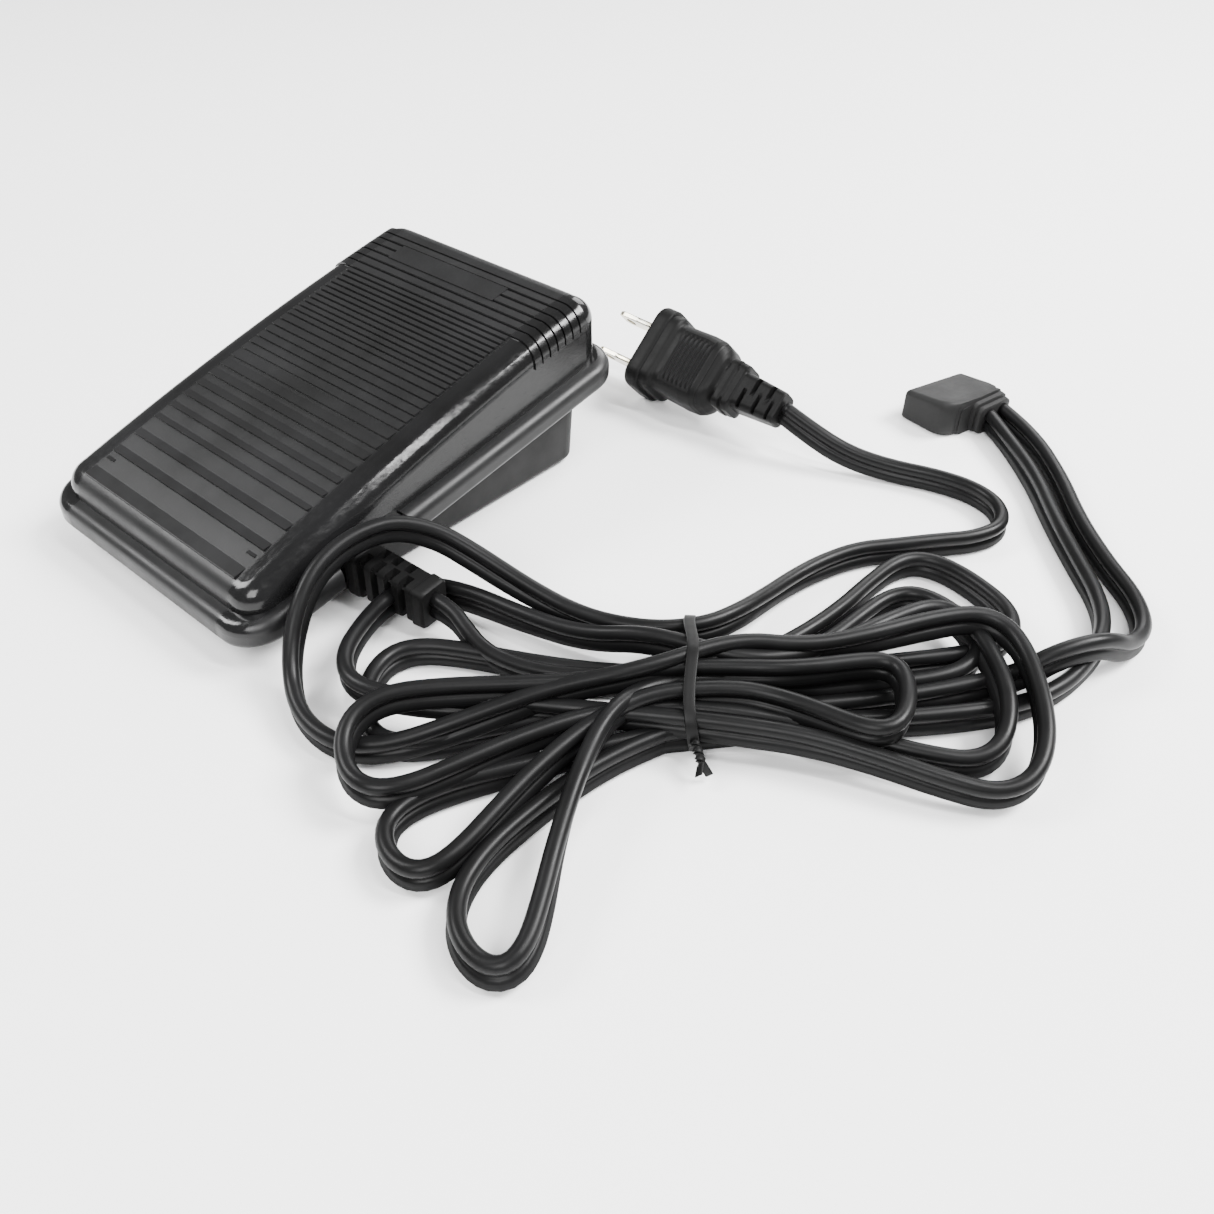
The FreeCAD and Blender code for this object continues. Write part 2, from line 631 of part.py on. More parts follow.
def control_board():
    """The upright circuit board with the parts that set the motor's speed."""
    piece("control_board", box("board_plate", "sizes.board_thick", "sizes.board_length", "sizes.board_height",
                               "sizes.board_x", -8.0, 4.0))
    strip = box("strip_plate", 0.28, 12.0, 14.0, "sizes.board_x - 0.28", 4.0, 12.0)
    piece("contact_strip", strip)
    face = size("board_x") + size("board_thick")
    capacitor = box("capacitor_block", 8.5, 18.0, 12.0, face, -4.0, 6.0)
    piece("film_capacitor", soften("capacitor_round", capacitor, 1.2,
                                   lambda edge: edge.BoundBox.XMax > face + 8.4))
    core = rod("choke_core", 3.2, 14.0, face + CHOKE_X, 0.0, CHOKE_Z, "Y")
    flanges = [rod("choke_end_%d" % number, 3.9, 1.4, face + CHOKE_X, y, CHOKE_Z, "Y")
               for number, y in enumerate((0.0, 12.6))]
    foot = box("choke_foot", 3.4, 10.0, 3.0, face, 2.0, 21.0)
    piece("choke", join("choke_full", [core, foot] + flanges))
    sink_wall = box("sink_wall", 1.4, 12.9, 18.0, face + 7.2, SINK_Y, SINK_Z)
    sink_fins = [box("sink_fin_%d" % number, 6.0, 1.2, 18.0, face + 8.6, SINK_Y + 3.9 * number, SINK_Z)
                 for number in range(4)]
    sink_body = join("sink_body", [sink_wall] + sink_fins)
    sink_hole = rod("sink_hole", 1.6, 3.0, face + 6.5, SCREW_Y, SCREW_Z, "X")
    piece("heat_sink", remove("sink_full", sink_body, [sink_hole]))
    tab = box("triac_tab", 1.3, 10.0, 15.0, face + 5.9, TRIAC_Y, TRIAC_Z)
    case = box("triac_case", 3.2, 10.0, 9.0, face + 2.7, TRIAC_Y, TRIAC_Z)
    legs = [box("triac_leg_%d" % number, 2.7, 0.8, 0.6, face, TRIAC_Y + 2.2 + 2.4 * number, TRIAC_Z + 2.0)
            for number in range(3)]
    triac = join("triac_full", [tab, case] + legs)
    triac_hole = rod("triac_hole", 1.6, 6.0, face + 3.0, SCREW_Y, SCREW_Z, "X")
    piece("triac", remove("triac_cut", triac, [triac_hole]))
    head = rod("sink_screw_head", 2.7, 1.6, face + 4.2, SCREW_Y, SCREW_Z, "X")
    shank = rod("sink_screw_shank", 1.5, 2.7, face + 5.8, SCREW_Y, SCREW_Z, "X")
    piece("heat_sink_screw", join("sink_screw_full", [head, shank]))
    bodies = []
    for number, z in enumerate((7.5, 11.5, 15.5)):
        barrel = rod("resistor_body_%d" % number, 1.2, 6.4, face + 1.5, RESISTOR_Y, z, "Y")
        wires = [box("resistor_wire_%d_%d" % (number, k), 1.6, 0.6, 0.6, face, y, z - 0.3)
                 for k, y in enumerate((RESISTOR_Y + 0.4, RESISTOR_Y + 5.4))]
        bodies.append(join("resistor_%d" % number, [barrel] + wires))
    piece("resistors", join("resistor_group", bodies))
    tabs = [box("terminal_%d" % number, 4.0, 4.0, 2.0, face, -7.0, z)
            for number, z in enumerate((19.5, 23.0))]
    piece("terminals", join("terminal_group", tabs))


# ---------------------------------------------------------------- cords


ARC_SHARE = 0.45


def tube_path(points):
    """Straight runs joined by tangent arcs, each arc as large as its two runs allow."""
    spots = [Vector(*point) for point in points]
    edges = []
    radii = []
    start = spots[0]
    for before, corner, after in zip(spots, spots[1:], spots[2:]):
        into = (corner - before).normalize()
        out = (after - corner).normalize()
        turn = into.getAngle(out)
        reach = ARC_SHARE * min((corner - before).Length, (after - corner).Length)
        radii.append(reach / math.tan(turn / 2))
        first = corner - into * reach
        last = corner + out * reach
        bulge = (out - into).normalize()
        centre = corner + bulge * (reach / math.tan(turn / 2) / math.cos(turn / 2))
        middle = centre - bulge * radii[-1]
        edges.append(Part.LineSegment(start, first).toShape())
        edges.append(Part.Arc(first, middle, last).toShape())
        start = last
    edges.append(Part.LineSegment(start, spots[-1]).toShape())
    return Part.Wire(edges), radii


def tube(name, radius, points):
    """A plain round tube along a route."""
    wire, radii = tube_path(points)
    start, ahead = Vector(*points[0]), Vector(*points[1])
    circle = Part.Wire([Part.Circle(start, ahead - start, radius).toShape()])
    shape = wire.makePipeShell([circle], True, False)
    share = shape.Volume / (math.pi * radius ** 2 * wire.Length)
    print("%s: %.1f mm long, radii %s, volume share %.3f"
          % (name, wire.Length, " ".join("%.0f" % r for r in radii), share))
    item = doc.addObject("Part::Feature", name + "_tube")
    item.Shape = shape
    return piece(name, item)


INNER_END = 18.0
LEAD_RADIUS = 0.9


def inner_cord():
    """The cord's end inside the case, its clamp and the two leads to the board."""
    middle = size("boot_y") - 0.9
    deck = size("tray_bottom") + 4.6
    thick = size("cord_thick")
    piece("inner_cord_end", box("inner_cord_bar", 13.8, "sizes.cord_width", thick, INNER_END,
                                middle - 0.5 * size("cord_width"), deck + 0.02))
    bar = box("clamp_bar", 6.0, 21.0, 1.6, 22.0, middle - 9.6, deck + thick + 0.04)
    legs = [box("clamp_leg_%d" % n, 6.0, 5.6, thick, 22.0, y, deck + 0.04)
            for n, y in enumerate((middle - 9.6, middle + 5.8))]
    holes = [rod("clamp_hole_%d" % n, 1.6, 9.0, CLAMP_X, y, deck - 1.0) for n, y in enumerate(CLAMP_SCREWS)]
    piece("cord_clamp", remove("clamp_full", join("clamp_solid", [bar] + legs), holes))
    screws = []
    for number, y in enumerate(CLAMP_SCREWS):
        screws.append(rod("clamp_shank_%d" % number, PILOT_RADIUS, 8.0, CLAMP_X, y, 2.8))
        screws.append(rod("clamp_head_%d" % number, 2.7, 1.6, CLAMP_X, y, deck + thick + 1.7))
    piece("clamp_screws", join("clamp_screw_group", screws))
    top = deck + 0.5 * thick
    face = size("board_x") + size("board_thick")
    for name, offset, z in (("inner_lead_a", -1.8, 24.0), ("inner_lead_b", 1.8, 20.5)):
        tube(name, LEAD_RADIUS, [(INNER_END, middle + offset, top), (14.0, middle + offset, top + 0.6),
                                 (11.6, middle + offset + 2.0, top + 3.5),
                                 (10.6, middle + offset + 5.0, 0.6 * z + 3.0),
                                 (face + 2.6, -11.5, z), (face + 2.0, -7.0, z)])


BOOT_AXIS = Vector(23.8, 2.5, -0.6)
BOOT_Y = -26.2
BOOT_Z = 8.6
BOOT_CORNER = 2.6
SLOT_WIDE = 1.5
SLOT_DEEP = 4.4
SLOT_RISE = 3.0
SLOT_PITCH = 4.9
# each column of slots: how many, where it starts along the boot and across it, and how wide it is
SLOT_COLUMNS = [(4, 4.4, -5.0, 4.2), (3, 6.9, 0.8, 4.6)]


def rounded_section(centre, across, wide, high, corner):
    """A rounded rectangle standing square to a horizontal direction."""
    up = Vector(0, 0, 1)
    half_w = 0.5 * wide
    half_h = 0.5 * high
    points = []
    edges = []
    for sx, sz, mid in ((1, -1, -45), (1, 1, 45), (-1, 1, 135), (-1, -1, 225)):
        hub = centre + across * (sx * (half_w - corner)) + up * (sz * (half_h - corner))
        angles = [math.radians(mid + k) for k in (-45, 0, 45)]
        points.append([hub + across * (corner * math.cos(a)) + up * (corner * math.sin(a)) for a in angles])
    for number, arc in enumerate(points):
        edges.append(Part.Arc(*arc).toShape())
        edges.append(Part.LineSegment(arc[2], points[(number + 1) % 4][0]).toShape())
    return Part.Wire(edges)


def strain_relief_boot():
    """A soft tapered sleeve from the case wall, slotted so that it bends, with a neck held by the case."""
    root = Vector(size("boot_root"), BOOT_Y, BOOT_Z)
    tip = root + BOOT_AXIS
    across = Vector(-BOOT_AXIS.y, BOOT_AXIS.x, 0).normalize()
    sections = [rounded_section(root, across, 9.4, 12.4, BOOT_CORNER),
                rounded_section(tip, across, 8.2, 10.0, BOOT_CORNER)]
    sleeve = Part.makeLoft(sections, True, True)
    neck = Part.makeBox(5.4, 8.2, 8.0, Vector(31.8, -30.3, 4.4))
    shape = sleeve.fuse(neck)
    along = Vector(BOOT_AXIS).normalize()
    for count, start, side, wide in SLOT_COLUMNS:
        for number in range(count):
            spot = root + along * (start + SLOT_PITCH * number) + across * side + Vector(0, 0, SLOT_RISE)
            shape = shape.cut(Part.makeBox(SLOT_WIDE, wide, SLOT_DEEP, spot))
    item = doc.addObject("Part::Feature", "boot_sleeve")
    item.Shape = shape
    piece("strain_relief_boot", item)
    return tip


PLUG_TURN = Rotation(Vector(0, 0, 1), -3.4).multiply(Rotation(Vector(1, 0, 0), size("plug_tilt")))


def plug_bar(wide, high, corner, start, end, wide_end=None, high_end=None):
    """A rounded bar along the plug's own axis, tapering if its far end is given another size."""
    along = Vector(0, 1, 0)
    first = rounded_section(Vector(start, 0, 0), along, wide, high, corner)
    last = rounded_section(Vector(end, 0, 0), along, wide_end or wide, high_end or high, corner)
    return Part.makeLoft([first, last], True, True)


PLUG_LENGTH = 50.0
BLADE_POINT = 1.2


def wall_plug():
    """The moulded plug: flange, grip, collar and tapered strain relief, with its two blades."""
    spot = Placement(Vector(size("plug_face"), size("plug_y"), size("plug_z")), PLUG_TURN)
    bars = [plug_bar(26.4, 18.0, 5.2, 0.0, 8.6), plug_bar(22.4, 16.6, 5.0, 8.0, 29.0),
            plug_bar(13.0, 11.0, 3.6, 28.5, 31.5), plug_bar(11.0, 9.0, 3.2, 31.0, PLUG_LENGTH, 9.6, 6.8)]
    shape = bars[0].multiFuse(bars[1:])
    body = doc.addObject("Part::Feature", "plug_moulding")
    body.Shape = shape
    body.Placement = spot
    piece("plug_body", body)
    for name, side in (("plug_blade_upper", 1), ("plug_blade_lower", -1)):
        blade = box(name + "_bar", "sizes.blade_length", "sizes.blade_thick", "sizes.blade_width", 0, 0, 0)
        point = soften(name + "_point", blade, BLADE_POINT, lambda edge: edge.BoundBox.XMax < 0.01 and
                       edge.BoundBox.YLength > 1)
        hole = rod(name + "_hole", 1.0, 4.0, 3.4, -1.0, 0.5 * size("blade_width"), "Y")
        metal = remove(name + "_metal", point, [hole])
        offset = Vector(-size("blade_length"), side * 0.5 * size("blade_spacing") - 0.5 * size("blade_thick"),
                        -0.5 * size("blade_width"))
        metal.Placement = spot.multiply(Placement(offset, Rotation()))
        piece(name, metal)
    return spot.multVec(Vector(PLUG_LENGTH, 0, 0))


CONNECTOR_SPOT = Placement(Vector(102.5, 145.6, 0), Rotation(Vector(0, 0, 1), -12.0))
BLOCK_START = (-7.8, -10.2)
BLOCK_TOP = 9.6
BLOCK_RISE = 8.0
BLOCK_LEAN = -5.1
SOCKET_ROWS = (-3.95, 3.05, 10.05)
SOCKET_Z = 4.6
LEAD_ROWS = (10.5, 4.5)
COLLAR_END = 13.0
LEAD_EXIT_Z = 4.3


def machine_connector():
    """The block that plugs into the machine: thicker towards the cords, with its sockets in the far face."""
    low_x, low_y = BLOCK_START
    block_full = box("connector_block", "sizes.connector_long", "sizes.connector_wide", 20.0, low_x, low_y,
                     0.0)
    over = doc.addObject("Part::Box", "connector_over")
    put(over, Length=60.0, Width=80.0, Height=30.0)
    lean = Rotation(Vector(0, 1, 0), -BLOCK_RISE).multiply(Rotation(Vector(1, 0, 0), BLOCK_LEAN))
    over.Placement = Placement(Vector(low_x, low_y, BLOCK_TOP) - lean.multVec(Vector(20, 20, 0)), lean)
    shell = soften("connector_round", remove("connector_wedge", block_full, [over]), 1.6,
                   lambda edge: edge.BoundBox.ZMax > 0.01)
    collar = soften("connector_collar_round", box("connector_collar", 5.0, 13.5, 8.4, 8.0, 0.4, 0.3), 1.4,
                    lambda edge: edge.BoundBox.XMax > COLLAR_END - 0.1)
    holes = [rod("connector_hole_%d" % number, 1.9, 9.0, low_x - 0.1, y, SOCKET_Z, "X")
             for number, y in enumerate(SOCKET_ROWS)]
    housing = remove("connector_full", join("connector_solid", [shell, collar]), holes)
    housing.Placement = CONNECTOR_SPOT
    piece("connector_housing", housing)
    sleeves = []
    for number, y in enumerate(SOCKET_ROWS):
        outer = rod("socket_%d" % number, 1.88, 8.0, low_x + 0.9, y, SOCKET_Z, "X")
        inner = rod("socket_hole_%d" % number, 1.25, 7.0, low_x + 0.8, y, SOCKET_Z, "X")
        sleeves.append(remove("socket_tube_%d" % number, outer, [inner]))
    group = join("socket_group", sleeves)
    group.Placement = CONNECTOR_SPOT
    piece("connector_sockets", group)


def smooth_outline(points, share=0.42):
    """A closed outline of straight runs joined by arcs, in the floor's plane."""
    spots = [Vector(x, y, 0) for x, y in points]
    count = len(spots)
    arcs = []
    for k in range(count):
        before, corner, after = spots[k - 1], spots[k], spots[(k + 1) % count]
        into = (corner - before).normalize()
        out = (after - corner).normalize()
        turn = into.getAngle(out)
        reach = share * min((corner - before).Length, (after - corner).Length)
        radius = reach / math.tan(turn / 2)
        bulge = (out - into).normalize()
        centre = corner + bulge * (radius / math.cos(turn / 2))
        arcs.append((corner - into * reach, centre - bulge * radius, corner + out * reach))
    edges = []
    for k in range(count):
        edges.append(Part.Arc(*arcs[k]).toShape())
        edges.append(Part.LineSegment(arcs[k][2], arcs[(k + 1) % count][0]).toShape())
    return Part.Face(Part.Wire(edges))


HANK_OUTLINE = [(110, 12), (112, 32), (118, 53), (127, 70), (139, 76), (151, 71), (161, 61), (176, 57),
                (186, 44), (189, 28), (184, 11), (171, -4), (151, -11), (135, -19), (129, -35),
                (132, -55), (140, -76), (135, -88), (123, -87), (108, -81), (92, -76), (77, -71),
                (65, -64), (60, -50), (66, -37), (70, -14), (84, -2), (100, 4)]

TIE_CENTRE = Vector(122, -5, 0)
TIE_ACROSS = Vector(-0.61, 0.79, 0)
TIE_LONG = 41.0
TIE_START = -22.0
TIE_THICK = 0.5
TIE_GAP = 0.02


def cord_hank(height):
    """The tied bundle's outer form."""
    item = doc.addObject("Part::Feature", "hank_form")
    item.Shape = smooth_outline(HANK_OUTLINE).extrude(Vector(0, 0, height))
    return piece("cord_hank", item)


def cord_tie(height):
    """A thin flat band across the top of the bundle's waist."""
    turn = math.degrees(math.atan2(TIE_ACROSS.y, TIE_ACROSS.x))
    wire = size("tie_wire")
    item = doc.addObject("Part::Feature", "tie_band")
    item.Shape = Part.makeBox(TIE_LONG, wire, TIE_THICK, Vector(TIE_START, -0.5 * wire, height + TIE_GAP))
    item.Placement = Placement(TIE_CENTRE, Rotation(Vector(0, 0, 1), turn))
    return piece("cord_tie", item)


CORD_Z = 3.55
CORD_RADIUS = 2.7
BOOT_LEAD_OUT = 6.0

POWER_RUN = [(87, 96.5, 9.5), (97, 99.5, 5.5), (108, 104, CORD_Z), (120, 108.5, CORD_Z), (131, 110, CORD_Z),
             (140, 106.5, CORD_Z), (144.5, 98.5, CORD_Z), (141.5, 89.5, CORD_Z), (134.5, 81.5, CORD_Z),
             (128.2, 73.0, CORD_Z), (121.5, 64.5, CORD_Z), (117.5, 54, CORD_Z), (115, 44, 5.0)]

LEAD_A = [(131, 146, 4.2), (146, 131, CORD_Z), (158, 115, CORD_Z), (171, 102, CORD_Z), (182, 93, CORD_Z),
          (188.3, 83, CORD_Z), (188, 73, CORD_Z), (183.5, 63, CORD_Z), (178, 54, 5.0), (173, 47, 6.0)]

LEAD_B = [(126, 139.5, 4.2), (141, 126, CORD_Z), (152.6, 111.6, CORD_Z), (165, 98, CORD_Z),
          (175, 87.5, CORD_Z), (180.6, 78, CORD_Z), (180.2, 68.5, CORD_Z), (174.5, 60, 4.0),
          (168, 52.5, 5.0)]

PEDAL_RUN = [(72.5, -24.8, 7.0), (78, -26.5, 6.6)]

LOOP = [(86, -4, 8.0), (77, -6.5, 10.5), (68.5, -8.5, 14.5), (61.5, -11.5, 19.5), (55.5, -15.5, 22.8),
        (51.8, -22, 23.6), (50.8, -30, 23.4), (50.8, -38.5, 21.0), (51.2, -46, 16.0), (52.5, -52, 10.5),
        (56, -57.5, 6.0), (62.5, -62, 3.8), (70, -63.5, 4.0), (77, -62, 5.0)]


def cords():
    """Both cords from end to end: boot, plug, connector, the tied bundle and the runs outside it."""
    boot_tip = strain_relief_boot()
    plug_tip = wall_plug()
    machine_connector()
    height = size("hank_height")
    cord_hank(height)
    cord_tie(height)
    past_boot = boot_tip + Vector(BOOT_AXIS).normalize() * BOOT_LEAD_OUT
    tube("pedal_cord_run", CORD_RADIUS, [tuple(boot_tip), tuple(past_boot)] + PEDAL_RUN)
    tube("power_cord_run", CORD_RADIUS, [tuple(plug_tip)] + POWER_RUN)
    ends = [CONNECTOR_SPOT.multVec(Vector(COLLAR_END, y, LEAD_EXIT_Z)) for y in LEAD_ROWS]
    tube("machine_lead_a", CORD_RADIUS, [tuple(ends[0])] + LEAD_A)
    tube("machine_lead_b", CORD_RADIUS, [tuple(ends[1])] + LEAD_B)
    tube("cord_loop", CORD_RADIUS, LOOP)


# ---------------------------------------------------------------- the whole

treadle_cover()
base_tray()
rubber_feet()
hinge()
return_spring("return_spring_left", -size("spring_x"))
return_spring("return_spring_right", size("spring_x"))
wiper_lever()
control_board()
inner_cord()
cords()
doc.recompute()

for item in doc.Objects:
    if {"Invalid", "Error"} & set(item.State):
        raise RuntimeError("%s failed: %s" % (item.Name, item.State))
for name, item in pieces.items():
    if item.Shape.isNull() or not item.Shape.isValid():
        raise RuntimeError(name + " has no valid shape")
os.makedirs("parts", exist_ok=True)
for name, item in pieces.items():
    item.Shape.exportStep("parts/%s.step" % name)
    extent = item.Shape.BoundBox
    print("%-20s solids %d  x %.1f..%.1f  y %.1f..%.1f  z %.1f..%.1f" % (
        name, len(item.Shape.Solids), extent.XMin, extent.XMax, extent.YMin, extent.YMax, extent.ZMin,
        extent.ZMax))
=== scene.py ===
import json
import math
import random

import bmesh
import bpy
import numpy as np
from mathutils import Matrix, Vector


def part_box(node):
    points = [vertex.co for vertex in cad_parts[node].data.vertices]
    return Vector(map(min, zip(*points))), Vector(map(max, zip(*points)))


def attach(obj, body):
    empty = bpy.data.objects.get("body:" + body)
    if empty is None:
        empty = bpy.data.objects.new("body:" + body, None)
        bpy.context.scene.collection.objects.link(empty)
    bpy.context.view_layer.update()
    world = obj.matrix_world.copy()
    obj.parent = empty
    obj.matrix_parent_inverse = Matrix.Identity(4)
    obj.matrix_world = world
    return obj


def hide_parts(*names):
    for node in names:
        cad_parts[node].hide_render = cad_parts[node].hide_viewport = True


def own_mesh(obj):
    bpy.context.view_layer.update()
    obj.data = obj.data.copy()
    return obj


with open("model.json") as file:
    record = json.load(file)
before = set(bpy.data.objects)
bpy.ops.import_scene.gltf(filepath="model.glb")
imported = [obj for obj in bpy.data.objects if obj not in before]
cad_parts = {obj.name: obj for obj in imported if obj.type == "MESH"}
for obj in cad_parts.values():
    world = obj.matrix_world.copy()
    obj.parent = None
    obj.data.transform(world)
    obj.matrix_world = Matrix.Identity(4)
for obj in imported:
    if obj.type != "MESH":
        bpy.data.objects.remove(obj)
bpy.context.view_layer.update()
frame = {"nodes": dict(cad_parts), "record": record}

MM = 0.001


# ---------------------------------------------------------------- shared helpers


def mesh_piece(name, verts, faces, body):
    """A named smooth mesh in the frame's own metres, riding on a CAD body."""
    mesh = bpy.data.meshes.new(name)
    mesh.from_pydata([tuple(v) for v in verts], [], faces)
    mesh.validate()
    mesh.update()
    obj = bpy.data.objects.new(name, mesh)
    bpy.context.scene.collection.objects.link(obj)
    mesh.polygons.foreach_set("use_smooth", [True] * len(mesh.polygons))
    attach(obj, body)
    return obj


def skin_faces(rings, count, closed=False):
    """Faces between neighbouring rings of points, with a cap at each end unless the skin closes on itself."""
    faces = []
    for k in range(rings if closed else rings - 1):
        n = (k + 1) % rings
        for j in range(count):
            i = (j + 1) % count
            faces.append((k * count + j, k * count + i, n * count + i, n * count + j))
    if not closed:
        faces.append(tuple(reversed(range(count))))
        faces.append(tuple((rings - 1) * count + j for j in range(count)))
    return faces


def spline_points(name, control):
    """Points read from a smooth NURBS spline through the route's control points, in metres."""
    curve = bpy.data.curves.new(name, "CURVE")
    curve.dimensions = "3D"
    curve.resolution_u = 10
    spline = curve.splines.new("NURBS")
    spline.points.add(len(control) - 1)
    for point, place in zip(spline.points, control):
        point.co = (place[0] * MM, place[1] * MM, place[2] * MM, 1.0)
    spline.order_u = 3
    spline.use_endpoint_u = True
    obj = bpy.data.objects.new(name, curve)
    mesh = bpy.data.meshes.new_from_object(obj)
    points = np.array([v.co for v in mesh.vertices])
    bpy.data.meshes.remove(mesh)
    bpy.data.objects.remove(obj)
    bpy.data.curves.remove(curve)
    return points


def along(points):
    """Distance from the start to each point of a line."""
    return np.concatenate([[0.0], np.cumsum(np.linalg.norm(np.diff(points, axis=0), axis=1))])


def resampled(points, step):
    """The same line with its points an even step apart."""
    run = along(points)
    count = max(int(round(run[-1] / step)), 2)
    places = np.linspace(0.0, run[-1], count + 1)
    return np.stack([np.interp(places, run, points[:, k]) for k in range(3)], axis=1)


# ---------------------------------------------------------------- materials


class Shade:
    """Builds one procedural material node by node."""

    def __init__(self, name):
        self.material = bpy.data.materials.new(name)
        self.material.use_nodes = True
        self.tree = self.material.node_tree
        self.surface = self.tree.nodes["Principled BSDF"]
        self.coords = self.tree.nodes.new("ShaderNodeTexCoord").outputs["Object"]

    def add(self, kind, inputs=None, **settings):
        node = self.tree.nodes.new(kind)
        for key, value in settings.items():
            setattr(node, key, value)
        for key, value in (inputs or {}).items():
            if hasattr(value, "links"):
                self.tree.links.new(value, node.inputs[key])
            else:
                node.inputs[key].default_value = value
        return node

    def noise(self, scale, detail=3.0, stretch=(1, 1, 1), rough=0.55):
        spread = self.add("ShaderNodeMapping", {"Vector": self.coords, "Scale": stretch}).outputs[0]
        settings = {"Vector": spread, "Scale": scale, "Detail": detail, "Roughness": rough}
        return self.add("ShaderNodeTexNoise", settings).outputs[0]

    def ramp(self, value, low, high, start=0.3, end=0.7):
        """Map a value onto a range of numbers."""
        settings = {"Value": value, "From Min": start, "From Max": end, "To Min": low, "To Max": high}
        return self.add("ShaderNodeMapRange", settings).outputs[0]

    def blend(self, value, low, high, start=0.3, end=0.7):
        """Map a value onto a pair of colours."""
        node = self.add("ShaderNodeValToRGB", {"Fac": value})
        node.color_ramp.elements[0].position = start
        node.color_ramp.elements[0].color = (*low, 1)
        node.color_ramp.elements[1].position = end
        node.color_ramp.elements[1].color = (*high, 1)
        return node.outputs[0]

    def color(self, value):
        self.tree.links.new(value, self.surface.inputs["Base Color"])

    def rough(self, value):
        self.tree.links.new(value, self.surface.inputs["Roughness"])

    def bump(self, height, strength, distance):
        node = self.add("ShaderNodeBump", {"Height": height, "Strength": strength, "Distance": distance})
        self.tree.links.new(node.outputs[0], self.surface.inputs["Normal"])


CLOUD_SCALE = 38.0
PATCH_SCALE = 90.0
PATCH_DETAIL = 6.0
PATCH_RANGE = (0.32, 0.68)


def plastic(name, dark, light, rough=(0.42, 0.6), grain=2600.0, depth=0.00003, shine=0.5, coat=0.0):
    """Moulded plastic: fine grain, faint clouding, rubbed patches and, where asked, a clear coat."""
    shade = Shade(name)
    shade.color(shade.blend(shade.noise(CLOUD_SCALE, 5.0), dark, light))
    patches = shade.noise(PATCH_SCALE, PATCH_DETAIL, rough=0.65)
    shade.rough(shade.ramp(patches, *rough, *PATCH_RANGE))
    shade.bump(shade.noise(grain, 2.0), 0.35, depth)
    shade.surface.inputs["Specular IOR Level"].default_value = shine
    shade.surface.inputs["Coat Weight"].default_value = coat
    shade.surface.inputs["Coat Roughness"].default_value = 0.3
    return shade.material


# how far from the middle, in metres, the tread gives way to the polished edge, and the edge to the wall
EDGE_BAND = (0.0312, 0.0326)
WALL_BAND = (0.0394, 0.0412)


def cover_plastic():
    """The cover: satin on the tread, polished round its edge, a little duller on its walls."""
    shade = Shade("cover_plastic")
    shade.color(shade.blend(shade.noise(CLOUD_SCALE, 5.0), grey(0.0035), grey(0.0075, 0.05)))
    place = shade.add("ShaderNodeSeparateXYZ", {"Vector": shade.coords}).outputs
    across = shade.add("ShaderNodeMath", {0: place[0]}, operation="ABSOLUTE").outputs[0]
    edge = shade.ramp(across, 0.0, 1.0, *EDGE_BAND)
    wall = shade.ramp(across, 0.0, 1.0, *WALL_BAND)
    patches = shade.ramp(shade.noise(PATCH_SCALE, PATCH_DETAIL, rough=0.65), 0.34, 0.46, *PATCH_RANGE)
    streaks = shade.ramp(shade.noise(420.0, 3.0, stretch=(3.0, 1.0, 3.0)), 0.1, 0.22)
    polished = shade.add("ShaderNodeMix", {0: edge, 2: patches, 3: streaks}).outputs[0]
    shade.rough(shade.add("ShaderNodeMix", {0: wall, 2: polished, 3: patches}).outputs[0])
    ripple = shade.noise(700.0, 3.0, stretch=(2.0, 1.0, 2.0))
    shade.bump(ripple, 0.3, 0.00005)
    shade.surface.inputs["Specular IOR Level"].default_value = 0.3
    return shade.material


def metal(name, dark, light, rough=(0.22, 0.42), brush=(1, 1, 1)):
    """Metal with drawn or brushed lines and small stains."""
    shade = Shade(name)
    shade.surface.inputs["Metallic"].default_value = 1.0
    shade.color(shade.blend(shade.noise(160.0, 5.0), dark, light))
    lines = shade.noise(900.0, 2.0, stretch=brush)
    shade.rough(shade.ramp(lines, *rough))
    shade.bump(lines, 0.25, 0.00002)
    return shade.material


def grey(value, tint=0.0):
    """A grey, with its blue raised by a share."""
    return (value, value, value * (1.0 + tint))


CORD_VINYL = plastic("cord_vinyl", grey(0.0035), grey(0.0065, 0.04), rough=(0.3, 0.44), grain=1500.0,
                     depth=0.00002, shine=0.12)
COVER = cover_plastic()
TRAY = plastic("tray_plastic", grey(0.004), grey(0.0075), rough=(0.46, 0.6), grain=2400.0, depth=0.00004,
               shine=0.16)
RUBBER = plastic("soft_rubber", grey(0.008), grey(0.014), rough=(0.62, 0.78), grain=1800.0, depth=0.00004,
                 shine=0.2)
BOOT = plastic("boot_rubber", grey(0.003), grey(0.006), rough=(0.5, 0.66), grain=2000.0, depth=0.00004,
               shine=0.1)
PLUG = plastic("plug_vinyl", grey(0.003), grey(0.006), rough=(0.38, 0.54), grain=2200.0, shine=0.09)
CONNECTOR = plastic("connector_plastic", grey(0.007), grey(0.012), rough=(0.5, 0.64), grain=2000.0,
                    depth=0.00004, shine=0.17)
TIE = plastic("tie_vinyl", grey(0.003), grey(0.006), rough=(0.36, 0.5), grain=1200.0, depth=0.00002,
              shine=0.12)
NYLON = plastic("lever_nylon", (0.62, 0.6, 0.52), (0.74, 0.72, 0.64), rough=(0.4, 0.55))
CLAMP = plastic("clamp_nylon", grey(0.05), grey(0.08), rough=(0.45, 0.6))
LAMINATE = plastic("board_laminate", (0.3, 0.19, 0.07), (0.42, 0.28, 0.12), rough=(0.4, 0.55),
                   grain=900.0)
CAPACITOR = plastic("capacitor_case", (0.36, 0.05, 0.03), (0.48, 0.1, 0.05), rough=(0.2, 0.35), coat=0.4)
